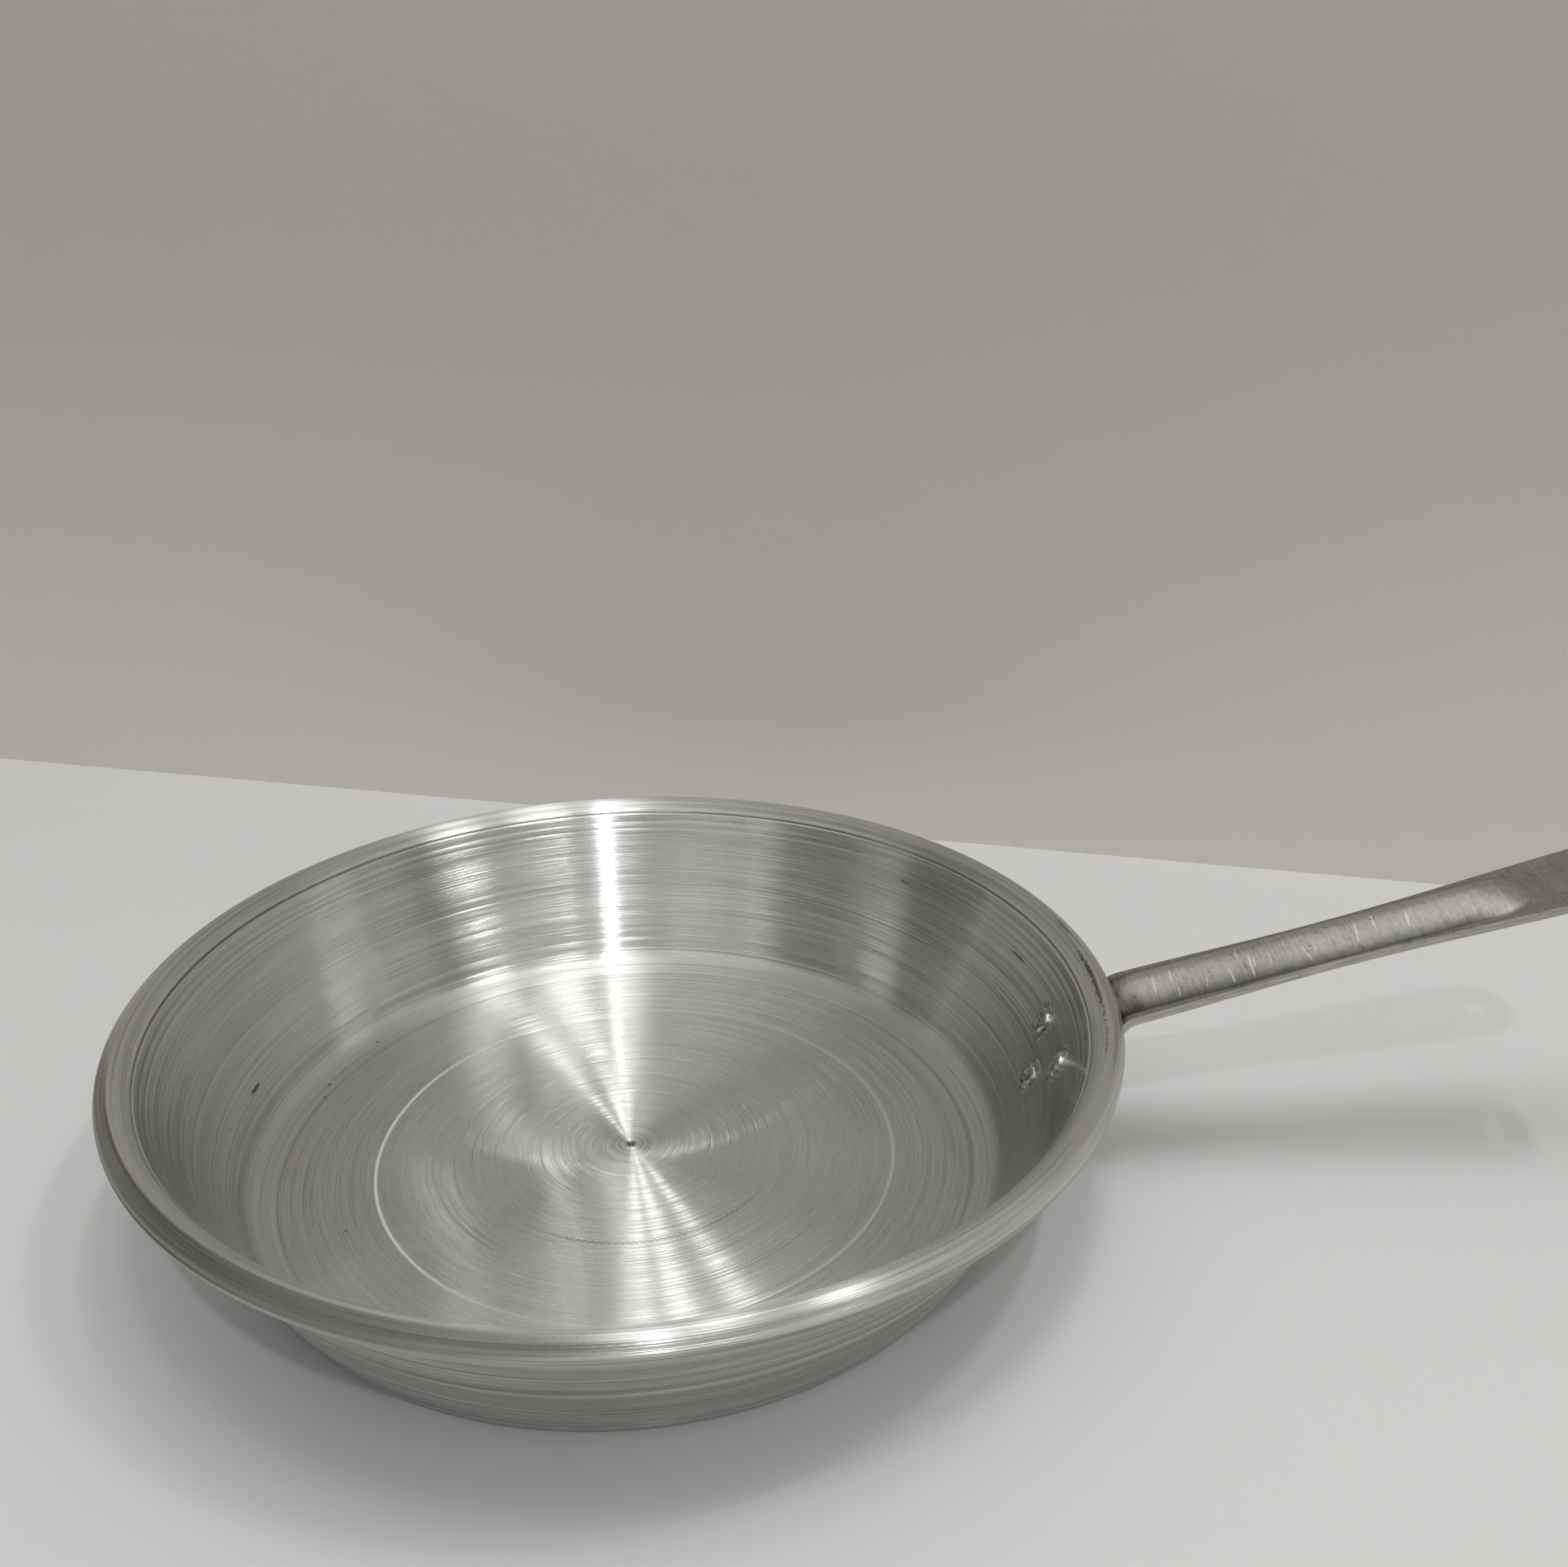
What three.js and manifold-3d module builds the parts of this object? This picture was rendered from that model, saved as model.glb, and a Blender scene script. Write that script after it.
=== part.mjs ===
// Spun aluminium frying pan with a pressed plate handle that three rivets hold to its wall.
// Millimetres. +Z is up, the origin is the middle of the flat underside, and +X runs along the handle.

import * as THREE from 'three';
import { mergeVertices } from 'three/addons/utils/BufferGeometryUtils.js';
import Module from 'manifold-3d';

const wasm = await Module();
wasm.setup();

// Pan body
const RIM_RADIUS = 150;
const PAN_HEIGHT = 60;
const BASE_RADIUS = 115.5;
const SHEET = 3;
const FLOOR_FILLET = 9;
const BASE_CORNER = 4;

// Rolled rim: a roll that is open underneath, and a sloping face from its crest down to a turned groove
const ROLL_RADIUS = 4;
const ROLL_HOLLOW = 1.8;
const RIM_FACE = 6;
const GROOVE_DEPTH = 0.5;
const GROOVE_WIDTH = 1;
const LIP_ANGLE = -70;
const HOLLOW_ANGLE = 205;

// Lathe centre mark in the middle of the floor
const CENTRE_MARK_RADIUS = 1.4;
const CENTRE_MARK_DEPTH = 0.5;

// Rivets
const SHANK = 5;
const HEAD = 8;
const HEAD_HEIGHT = 1.6;
const TAIL = 8;
const TAIL_HEIGHT = 2;
const CROWN_OF_HEAD = 0.75;
const RIVET_SPREAD = 25.5;
const RIVET_PITCH = 14;

// Handle plate and its tab on the wall
const PLATE = 2.5;
const BEND_MARGIN = 1.5;
const TAB_EDGE = 6.8;
const TAB_END = 10;
const TAB_END_WIDTH = 22;
const ROOT_BEND = 8;
const NECK_RISE = 36;
const SHOULDER_RISE = 56;
const SHOULDER_BEND = 6.8;

// Handle grip: arched along its middle, then a flat rounded end with a hanging hole
const GRIP_RISE = 16.9;
const GRIP_LENGTH = 172.9;
const ROOT_WIDTH = 27;
const WAIST_WIDTH = 23.2;
const END_WIDTH = 31;
const WAIST_AT = 61;
const CROWN = 3.5;
const CROWN_SHARE = 0.94;
const CROWN_FADE_IN = 7;
const CROWN_FADE_OUT = 12;
const CROWN_LENGTH = 110;
const HANG_HOLE = 8;
const HANG_HOLE_INSET = 13;

// Clearances
const SEAT_GAP = 0.3;
const ROLL_CLEARANCE = 0.4;

// Facets: sides of the turned pieces, faces of each round, and spacing along the handle
const TURNING_SIDES = 90;
const RIVET_SIDES = 24;
const CORNER_FACES = 4;
const FILLET_FACES = 5;
const ROLL_FACES = 9;
const END_FACES = 7;
const PLATE_FACES = 12;
const STATION = 6;
const LEAST_STATIONS = 5;

const UP = new THREE.Vector3(0, 1, 0);
const MERGE = 1e-4;
const NUDGE = 0.01;

const radians = THREE.MathUtils.degToRad;
const smooth = THREE.MathUtils.smoothstep;

// The roll's centre, the groove beside it and the wall's slope. The wall's inside meets the groove, and its
// outside, one sheet further out, meets the edge of the base.
const rollAt = new THREE.Vector2(RIM_RADIUS - ROLL_RADIUS, PAN_HEIGHT - ROLL_RADIUS);
const grooveRadius = rollAt.x - RIM_FACE;
const wallRun = grooveRadius - BASE_RADIUS;
const wallAngle = Math.acos(SHEET / Math.hypot(rollAt.y, wallRun)) - Math.atan2(wallRun, rollAt.y);

function outerWall(height) {
  return BASE_RADIUS + height / Math.tan(wallAngle);
}

function innerWall(height) {
  return outerWall(height) - SHEET / Math.sin(wallAngle);
}

function evenly(from, to, steps) {
  const count = Math.ceil(steps);
  return Array.from({ length: count + 1 }, (_, i) => from + (to - from) * i / count);
}

function arc(centre, radius, from, to, steps) {
  const at = (angle) => new THREE.Vector2(Math.cos(angle), Math.sin(angle));
  return evenly(from, to, steps).map((angle) => at(angle).multiplyScalar(radius).add(centre));
}

// Closed solids from three.js geometry, and back again

function tidy(geometry) {
  const bare = geometry.clone();
  bare.deleteAttribute('normal');
  bare.deleteAttribute('uv');
  const merged = mergeVertices(bare, MERGE);
  const kept = [];
  for (let i = 0; i < merged.index.count; i += 3) {
    const corners = [0, 1, 2].map((k) => merged.index.getX(i + k));
    if (new Set(corners).size === 3) kept.push(...corners);
  }
  merged.setIndex(kept);
  return merged;
}

function solidOf(geometry) {
  const closed = tidy(geometry);
  const vertProperties = new Float32Array(closed.attributes.position.array);
  const triVerts = new Uint32Array(closed.index.array);
  return new wasm.Manifold(new wasm.Mesh({ numProp: 3, vertProperties, triVerts }));
}

function geometryOf(solid) {
  const mesh = solid.getMesh();
  const geometry = new THREE.BufferGeometry();
  geometry.setAttribute('position', new THREE.BufferAttribute(mesh.vertProperties, 3));
  geometry.setIndex(new THREE.BufferAttribute(mesh.triVerts, 1));
  return geometry;
}

function cutHoles(geometry, drills) {
  const cut = drills.reduce((solid, drill) => solid.subtract(solidOf(drill)), solidOf(geometry));
  const result = geometryOf(cut);
  result.computeVertexNormals();
  return result;
}

// Pan body: half section from the axis out along the underside, up the outside, round the rim and back inside

function panSection() {
  const foot = new THREE.Vector2(outerWall(BASE_CORNER) - BASE_CORNER / Math.sin(wallAngle), BASE_CORNER);
  const heel = SHEET + FLOOR_FILLET;
  const bowl = new THREE.Vector2(innerWall(heel) - FLOOR_FILLET / Math.sin(wallAngle), heel);
  const down = -Math.PI / 2;
  const wallSide = wallAngle + down;
  const lip = radians(LIP_ANGLE);
  const wallTop = rollAt.y - ROLL_RADIUS * Math.SQRT1_2;
  const faceHeight = (radius) => PAN_HEIGHT - ROLL_RADIUS * ((rollAt.x - radius) / RIM_FACE) ** 2;
  const grooveOut = grooveRadius + GROOVE_WIDTH / 2;
  const facePoint = (radius) => new THREE.Vector2(radius, faceHeight(radius));
  const face = evenly(rollAt.x, grooveOut, FILLET_FACES).map(facePoint);
  return [
    new THREE.Vector2(0, 0),
    ...arc(foot, BASE_CORNER, down, wallSide, CORNER_FACES),
    new THREE.Vector2(outerWall(wallTop), wallTop),
    ...arc(rollAt, ROLL_HOLLOW, radians(HOLLOW_ANGLE), lip, ROLL_FACES),
    ...arc(rollAt, ROLL_RADIUS, lip, Math.PI / 2, ROLL_FACES),
    ...face.slice(1),
    new THREE.Vector2(grooveRadius + GROOVE_DEPTH, rollAt.y),
    new THREE.Vector2(innerWall(rollAt.y - GROOVE_WIDTH / 2), rollAt.y - GROOVE_WIDTH / 2),
    ...arc(bowl, FLOOR_FILLET, wallSide, down, FILLET_FACES),
    new THREE.Vector2(CENTRE_MARK_RADIUS, SHEET),
    new THREE.Vector2(0, SHEET - CENTRE_MARK_DEPTH),
  ];
}

function panBody(drills) {
  const turned = new THREE.LatheGeometry(panSection(), TURNING_SIDES);
  turned.rotateX(Math.PI / 2);
  return cutHoles(turned, drills);
}

// Handle: the middle line of the plate's upper face. It climbs the wall, bends out under the roll, follows the
// roll up and rises to the tip. Lengths along it are measured from where the tab leaves the wall.

const gripRise = radians(GRIP_RISE);
const neckRise = radians(NECK_RISE);
const shoulderRise = radians(SHOULDER_RISE);
const rollSpan = ROLL_RADIUS + ROLL_CLEARANCE;
const neckSquare = new THREE.Vector2(-Math.sin(neckRise), Math.cos(neckRise));
const neckHeight = neckSquare.dot(rollAt) - rollSpan;
const tabFoot = new THREE.Vector2(BASE_RADIUS + SEAT_GAP / Math.sin(wallAngle), 0);
const tabWay = new THREE.Vector2(Math.cos(wallAngle), Math.sin(wallAngle));
const tabCorner = (neckHeight - neckSquare.dot(tabFoot)) / Math.sin(wallAngle - neckRise);
const bendReach = ROOT_BEND * Math.tan((wallAngle - neckRise) / 2);
const tabTop = tabCorner - bendReach;
const neckWay = new THREE.Vector2(Math.cos(neckRise), Math.sin(neckRise));
const cornerAt = tabWay.clone().multiplyScalar(tabCorner).add(tabFoot);
const underRoll = rollAt.clone().sub(cornerAt).dot(neckWay) - bendReach;

const stretches = [
  { length: ROOT_BEND * (wallAngle - neckRise), turn: wallAngle - neckRise },
  { length: underRoll, turn: 0 },
  { length: rollSpan * (shoulderRise - neckRise), turn: neckRise - shoulderRise },
  { length: SHOULDER_BEND * (shoulderRise - gripRise), turn: shoulderRise - gripRise },
  { length: GRIP_LENGTH, turn: 0 },
];
const ends = stretches.map((_, i) => stretches.slice(0, i + 1).reduce((sum, part) => sum + part.length, 0));
const [bendEnd, rollStart, neckEnd, gripStart, tipAt] = ends;
const upperRow = -(TAIL / 2 + BEND_MARGIN);
const lowerRow = upperRow - RIVET_PITCH;
const tabEnd = lowerRow - TAB_END;
const endCentre = tipAt - END_WIDTH / 2;
const crownStart = (neckEnd + gripStart) / 2 + CROWN_FADE_IN;
const crownEnd = gripStart + CROWN_LENGTH;

function along(start, heading, stretch, distance) {
  const bend = stretch.turn / stretch.length;
  const now = heading - bend * distance;
  const straight = new THREE.Vector2(Math.cos(heading), Math.sin(heading)).multiplyScalar(distance);
  const curved = new THREE.Vector2(Math.sin(heading) - Math.sin(now), Math.cos(now) - Math.cos(heading));
  const step = stretch.turn === 0 ? straight : curved.divideScalar(bend);
  return { point: step.add(start), heading: now };
}

function pathAt(distance) {
  let here = { point: tabWay.clone().multiplyScalar(tabTop).add(tabFoot), heading: wallAngle };
  if (distance <= 0) {
    return { point: tabWay.clone().multiplyScalar(distance).add(here.point), heading: wallAngle };
  }
  let left = distance;
  for (const stretch of stretches) {
    const taken = Math.min(left, stretch.length);
    here = along(here.point, here.heading, stretch, taken);
    left -= taken;
  }
  return here;
}

// Half the plate's width: smooth between a few named widths, and round at both ends

const widths = [
  { at: tabEnd, half: TAB_END_WIDTH / 2 },
  { at: lowerRow, half: TAB_END_WIDTH / 2 },
  { at: upperRow, half: RIVET_SPREAD / 2 + TAB_EDGE },
  { at: neckEnd, half: ROOT_WIDTH / 2 },
  { at: gripStart + WAIST_AT, half: WAIST_WIDTH / 2 },
  { at: endCentre, half: END_WIDTH / 2 },
  { at: tipAt, half: END_WIDTH / 2 },
];

function halfWidth(distance) {
  const last = Math.max(1, widths.findIndex((width) => distance <= width.at));
  const [from, to] = [widths[last - 1], widths[last]];
  const plain = from.half + (to.half - from.half) * smooth(distance, from.at, to.at);
  const pastTab = Math.max(0, (lowerRow - distance) / TAB_END);
  const pastEnd = Math.max(0, (distance - endCentre) / (END_WIDTH / 2));
  return plain * Math.sqrt(Math.max(0, 1 - pastTab ** 2 - pastEnd ** 2));
}

// How far the arch of the grip stands above the plate's edges. It runs out in a round spoon end.
function crownLift(distance, side) {
  const before = Math.max(0, (crownStart - distance) / CROWN_FADE_IN);
  const after = Math.max(0, (distance - crownEnd) / CROWN_FADE_OUT);
  const over = side / (CROWN_SHARE * WAIST_WIDTH / 2);
  const reach = Math.min(1, Math.hypot(before, after, over));
  return CROWN * (1 - reach ** 2);
}

// A point of the upper face. The tab curves with the wall, and the grip is straight across.
function plateTop(distance, side) {
  const { point, heading } = pathAt(distance);
  const lift = crownLift(distance, side);
  const reach = point.x - lift * Math.sin(heading);
  const hug = 1 - smooth(distance, 0, neckEnd);
  const round = Math.sqrt(reach ** 2 - side ** 2);
  return new THREE.Vector3(reach + hug * (round - reach), side, point.y + lift * Math.cos(heading));
}

function plateNormal(distance, side) {
  const ahead = plateTop(distance + NUDGE, side).sub(plateTop(distance - NUDGE, side));
  const left = plateTop(distance, side + NUDGE).sub(plateTop(distance, side - NUDGE));
  return ahead.cross(left).normalize();
}

// Where the plate's cross-sections stand: closer on short bends and round ends than along the grip
function plateStations() {
  const round = evenly(0, Math.PI / 2, END_FACES);
  const spoonEnd = crownEnd + CROWN_FADE_OUT;
  const neck = [bendEnd, rollStart, neckEnd, gripStart, crownStart];
  const marks = [lowerRow, upperRow, 0, ...neck, crownEnd, spoonEnd, endCentre];
  const between = marks.slice(1).flatMap((to, i) => {
    const steps = Math.max(LEAST_STATIONS, (to - marks[i]) / STATION);
    return evenly(marks[i], to, steps).slice(1);
  });
  return [
    ...round.map((angle) => lowerRow - TAB_END * Math.cos(angle)),
    ...between,
    ...round.slice(1).map((angle) => endCentre + END_WIDTH / 2 * Math.sin(angle)),
  ];
}

function handlePlate() {
  const stations = plateStations();
  const rows = stations.map((distance) => {
    const half = halfWidth(distance);
    const tops = evenly(-half, half, PLATE_FACES).map((side) => plateTop(distance, side));
    const unders = evenly(-half, half, PLATE_FACES).map((side, i) => {
      return plateNormal(distance, side).multiplyScalar(-PLATE).add(tops[i]);
    });
    return [...tops, ...unders.reverse()];
  });
  const ring = rows[0].length;
  const faces = [];
  for (let i = 0; i + 1 < rows.length; i += 1) {
    for (let j = 0; j < ring; j += 1) {
      const a = i * ring + j;
      const b = i * ring + (j + 1) % ring;
      faces.push(a, a + ring, b, b, a + ring, b + ring);
    }
  }
  const geometry = new THREE.BufferGeometry().setFromPoints(rows.flat());
  geometry.setIndex(faces);
  return geometry;
}

// Rivets: each axis is square to the wall, from the tab's face towards the inside of the pan

const rivetSeats = [
  { name: 'rivet_upper_left', at: upperRow, side: RIVET_SPREAD / 2 },
  { name: 'rivet_upper_right', at: upperRow, side: -RIVET_SPREAD / 2 },
  { name: 'rivet_lower', at: lowerRow, side: 0 },
];

function rivetPlacement(seat) {
  const turn = new THREE.Quaternion().setFromUnitVectors(UP, plateNormal(seat.at, seat.side));
  return { position: plateTop(seat.at, seat.side), quaternion: turn };
}

function rivetBody() {
  const headSeat = SHEET + 2 * SEAT_GAP;
  const tailSeat = -PLATE - SEAT_GAP;
  const dome = (radius, seat, height) => evenly(0, Math.PI / 2, CORNER_FACES).map((angle) => {
    const reach = radius * THREE.MathUtils.lerp(CROWN_OF_HEAD, 1, Math.cos(angle));
    return new THREE.Vector2(reach, seat + height * Math.sin(angle));
  });
  const section = [
    new THREE.Vector2(0, tailSeat - TAIL_HEIGHT),
    ...dome(TAIL / 2, tailSeat, -TAIL_HEIGHT).reverse(),
    new THREE.Vector2(SHANK / 2, tailSeat),
    new THREE.Vector2(SHANK / 2, headSeat),
    ...dome(HEAD / 2, headSeat, HEAD_HEIGHT),
    new THREE.Vector2(0, headSeat + HEAD_HEIGHT),
  ];
  return tidy(new THREE.LatheGeometry(section, RIVET_SIDES));
}

// Drills for the rivet holes and for the hanging hole

function drill(diameter, length, placement) {
  const bit = new THREE.CylinderGeometry(diameter / 2, diameter / 2, length, RIVET_SIDES);
  bit.applyQuaternion(placement.quaternion);
  return bit.translate(...placement.position.toArray());
}

const drillLength = 4 * (SHEET + PLATE);
const rivetDrills = rivetSeats.map((seat) => {
  return drill(SHANK + 2 * SEAT_GAP, drillLength, rivetPlacement(seat));
});
const hangDrill = drill(HANG_HOLE, drillLength, rivetPlacement({ at: tipAt - HANG_HOLE_INSET, side: 0 }));

// Finishes and assembly

function metal(color, roughness) {
  return new THREE.MeshStandardMaterial({ color, roughness, metalness: 1 });
}

const spunAluminium = metal(0xb8b9b7, 0.32);
const satinSteel = metal(0xa6a49e, 0.38);
const rivetAluminium = metal(0xc4c5c4, 0.26);

function piece(name, geometry, material) {
  const mesh = new THREE.Mesh(geometry, material);
  mesh.name = name;
  return mesh;
}

const fryingPan = new THREE.Group();
fryingPan.add(piece('pan_body', panBody(rivetDrills), spunAluminium));
fryingPan.add(piece('handle', cutHoles(handlePlate(), [...rivetDrills, hangDrill]), satinSteel));
for (const seat of rivetSeats) {
  const rivet = piece(seat.name, rivetBody(), rivetAluminium);
  const { position, quaternion } = rivetPlacement(seat);
  rivet.position.copy(position);
  rivet.quaternion.copy(quaternion);
  fryingPan.add(rivet);
}

export default fryingPan;
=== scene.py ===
"""Looks of a spun aluminium frying pan with a riveted steel handle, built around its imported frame.

Metres throughout. +Z is up, the origin is the middle of the flat underside, and +X runs along the handle.
"""

from __future__ import annotations

import logging
import math
from dataclasses import dataclass
from enum import Enum
from typing import Callable, Sequence

import bmesh
import bpy
from mathutils import Matrix, Vector


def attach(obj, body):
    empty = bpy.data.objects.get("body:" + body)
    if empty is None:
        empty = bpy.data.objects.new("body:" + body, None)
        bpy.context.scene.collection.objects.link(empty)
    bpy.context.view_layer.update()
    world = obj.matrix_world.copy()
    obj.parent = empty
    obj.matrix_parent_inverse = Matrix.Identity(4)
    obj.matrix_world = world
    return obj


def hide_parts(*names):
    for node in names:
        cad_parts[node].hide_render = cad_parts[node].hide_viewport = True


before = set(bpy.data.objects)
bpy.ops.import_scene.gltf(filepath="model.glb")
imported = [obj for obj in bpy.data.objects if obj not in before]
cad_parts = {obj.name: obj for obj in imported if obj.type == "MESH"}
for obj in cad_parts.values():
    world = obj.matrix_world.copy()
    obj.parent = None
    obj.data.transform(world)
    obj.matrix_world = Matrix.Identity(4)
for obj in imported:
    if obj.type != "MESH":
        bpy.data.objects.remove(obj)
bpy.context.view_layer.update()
log = logging.getLogger("frying_pan")

BODY = "root"
MM = 0.001
WELD = 1e-6
TINY = 1e-5
NUDGE = 0.01 * MM
SEAT_GAP = 0.3 * MM

Colour = tuple[float, float, float]
Scales = tuple[float, float, float]
Span = tuple[float, float]

TABLE_GREY: Colour = (0.84, 0.84, 0.84)


class Cut(Enum):
    """Which way a turned line goes: into the metal, or standing on it."""

    GROOVE = -1.0
    RIDGE = 1.0


class Lamp(Enum):
    """Lamp shapes that the studio uses."""

    PANEL = "RECTANGLE"
    ROUND = "DISK"


def smoothstep(value: float, low: float, high: float) -> float:
    """Gives 0 below low, 1 above high and an even S between them.

    Args:
        value: The number to place.
        low: Where the S starts.
        high: Where the S ends.

    Returns:
        A share from 0 to 1.
    """
    share = min(1.0, max(0.0, (value - low) / (high - low)))
    return share * share * (3.0 - 2.0 * share)


def evenly(start: float, stop: float, steps: int) -> list[float]:
    """Divides a stretch into equal steps.

    Args:
        start: First value.
        stop: Last value.
        steps: How many steps lie between them.

    Returns:
        The steps + 1 values, both ends among them.
    """
    return [start + (stop - start) * i / steps for i in range(steps + 1)]


def clear_selection() -> None:
    """Leaves edit mode and deselects everything, so that the next operator acts on one piece alone."""
    if bpy.context.mode != "OBJECT":
        bpy.ops.object.mode_set(mode="OBJECT")
    bpy.ops.object.select_all(action="DESELECT")


class Workpiece:
    """One mesh on the bench, shaped with Blender's own operators."""

    def __init__(self, name: str) -> None:
        """Takes the object that an operator has just added.

        Args:
            name: The name that the piece keeps.
        """
        self.obj = bpy.context.active_object
        self.obj.name = name
        self.obj.data.name = name

    @classmethod
    def traced(cls, name: str, points: Sequence[Vector]) -> "Workpiece":
        """Draws an open outline by extruding one vertex from point to point.

        Args:
            name: The piece's name.
            points: The corners of the outline in order.

        Returns:
            The piece, in edit mode.
        """
        clear_selection()
        bpy.ops.mesh.primitive_plane_add(size=MM, location=(0, 0, 0), enter_editmode=True)
        work = cls(name)
        bpy.ops.mesh.merge(type="CENTER")
        bpy.ops.transform.translate(value=points[0])
        for here, there in zip(points, points[1:]):
            bpy.ops.mesh.extrude_region_move(TRANSFORM_OT_translate={"value": there - here})
        return work

    def edit(self) -> bmesh.types.BMesh:
        """Goes into edit mode on this piece.

        Returns:
            The mesh under edit.
        """
        bpy.context.view_layer.objects.active = self.obj
        if bpy.context.mode != "EDIT_MESH":
            bpy.ops.object.mode_set(mode="EDIT")
        return bmesh.from_edit_mesh(self.obj.data)

    def pick_faces(self, test: Callable[[bmesh.types.BMFace], bool]) -> None:
        """Selects the faces that pass a test, and nothing else.

        Args:
            test: Says for each face whether it is wanted.
        """
        self.edit()
        bpy.ops.mesh.select_mode(type="FACE")
        bpy.ops.mesh.select_all(action="DESELECT")
        mesh = bmesh.from_edit_mesh(self.obj.data)
        for face in mesh.faces:
            face.select_set(test(face))
        bmesh.update_edit_mesh(self.obj.data)

    def reshape(self, place: Callable[[Vector], Vector]) -> None:
        """Moves every vertex to where a rule puts it, as a press does to a flat blank.

        Args:
            place: Gives the new place of a point.
        """
        mesh = self.edit()
        for vertex in mesh.verts:
            vertex.co = place(vertex.co.copy())
        bmesh.update_edit_mesh(self.obj.data)

    def turn(self, steps: int) -> None:
        """Spins the outline round the Z axis into a closed body.

        Args:
            steps: How many sides the turned body has.
        """
        self.edit()
        bpy.ops.mesh.select_all(action="SELECT")
        bpy.ops.mesh.spin(steps=steps, angle=math.tau, center=(0, 0, 0), axis=(0, 0, 1))
        self.close()

    def close(self) -> None:
        """Merges doubled vertices and turns every face outwards."""
        self.edit()
        bpy.ops.mesh.select_all(action="SELECT")
        bpy.ops.mesh.remove_doubles(threshold=WELD)
        bpy.ops.mesh.normals_make_consistent(inside=False)

    def select_alone(self) -> None:
        """Selects this object alone, in object mode."""
        clear_selection()
        self.obj.select_set(True)
        bpy.context.view_layer.objects.active = self.obj

    def apply(self, kind: str, **settings: object) -> None:
        """Adds a modifier and applies it.

        Args:
            kind: The modifier's type.
            **settings: Its settings.
        """
        self.select_alone()
        modifier = self.obj.modifiers.new(kind.lower(), kind)
        for key, value in settings.items():
            setattr(modifier, key, value)
        bpy.ops.object.modifier_apply(modifier=modifier.name)

    def drill(self, cutter: "Workpiece") -> None:
        """Cuts another workpiece out of this one and removes it.

        Args:
            cutter: The shape to take away.
        """
        self.apply("BOOLEAN", object=cutter.obj, operation="DIFFERENCE", solver="EXACT")
        cutter.discard()

    def discard(self) -> None:
        """Removes the piece and its mesh."""
        clear_selection()
        mesh = self.obj.data
        bpy.data.objects.remove(self.obj)
        bpy.data.meshes.remove(mesh)

    def place(self, matrix: Matrix) -> None:
        """Moves the finished mesh to its place and leaves its object at the origin.

        Args:
            matrix: Where the piece goes.
        """
        self.select_alone()
        self.obj.matrix_world = matrix
        bpy.ops.object.transform_apply(location=True, rotation=True, scale=True)

    def copy(self, name: str) -> "Workpiece":
        """Makes a second piece with a mesh of its own.

        Args:
            name: The copy's name.

        Returns:
            The copy.
        """
        self.select_alone()
        bpy.ops.object.duplicate(linked=False)
        return Workpiece(name)

    def hand_over(self, node: str, slot: str, material: bpy.types.Material, crease: float) -> None:
        """Shades and dresses the finished piece, and sets it in the frame in place of its node.

        Args:
            node: The node that it stands for.
            slot: The record's material slot. It is not used.
            material: Its finish.
            crease: Edges sharper than this angle stay sharp.
        """
        self.select_alone()
        bpy.ops.object.shade_smooth_by_angle(angle=crease)
        self.obj.data.materials.clear()
        self.obj.data.materials.append(material)
        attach(self.obj, BODY)
        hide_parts(node)
        log.info("%s: %d faces in place of %s", self.obj.name, len(self.obj.data.polygons), node)


class Value:
    """A number that varies over a surface. Arithmetic on it adds Math nodes."""

    def __init__(self, graph: "Graph", socket: bpy.types.NodeSocket) -> None:
        """Wraps an output socket.

        Args:
            graph: The material that it belongs to.
            socket: The socket that gives the number.
        """
        self.graph = graph
        self.socket = socket

    def math(self, operation: str, *others: "Value | float") -> "Value":
        """Adds one Math node.

        Args:
            operation: The node's operation.
            *others: Its other inputs.

        Returns:
            The node's result.
        """
        inputs = dict(enumerate((self, *others)))
        return self.graph.value("ShaderNodeMath", {"operation": operation}, inputs)

    def __add__(self, other: "Value | float") -> "Value":
        """Adds."""
        return self.math("ADD", other)

    def __sub__(self, other: "Value | float") -> "Value":
        """Subtracts."""
        return self.math("SUBTRACT", other)

    def __mul__(self, other: "Value | float") -> "Value":
        """Multiplies."""
        return self.math("MULTIPLY", other)

    def __truediv__(self, other: "Value | float") -> "Value":
        """Divides."""
        return self.math("DIVIDE", other)

    def __radd__(self, other: float) -> "Value":
        """Adds to a plain number."""
        return self.math("ADD", other)

    def __rsub__(self, other: float) -> "Value":
        """Subtracts from a plain number."""
        return self.graph.value("ShaderNodeMath", {"operation": "SUBTRACT"}, {0: other, 1: self})

    def __abs__(self) -> "Value":
        """Drops the sign."""
        return self.math("ABSOLUTE")

    def clamp(self) -> "Value":
        """Keeps the number from 0 to 1."""
        return self.math("MAXIMUM", 0.0).math("MINIMUM", 1.0)

    def rise(self, low: float, high: float) -> "Value":
        """Gives 0 at low, 1 at high and an even S between them.

        Args:
            low: Where the rise starts.
            high: Where it ends. It may be the smaller number, and then the S falls.

        Returns:
            A share from 0 to 1.
        """
        inputs = {"Value": self, "From Min": low, "From Max": high}
        return self.graph.value("ShaderNodeMapRange", {"interpolation_type": "SMOOTHSTEP"}, inputs)

    def near(self, centre: float, reach: float) -> "Value":
        """Gives 1 at a number and 0 from a given distance on.

        Args:
            centre: Where the mask is full.
            reach: How far it reaches on each side.

        Returns:
            A share from 0 to 1.
        """
        return abs(self - centre).rise(reach, 0.0)


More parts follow.
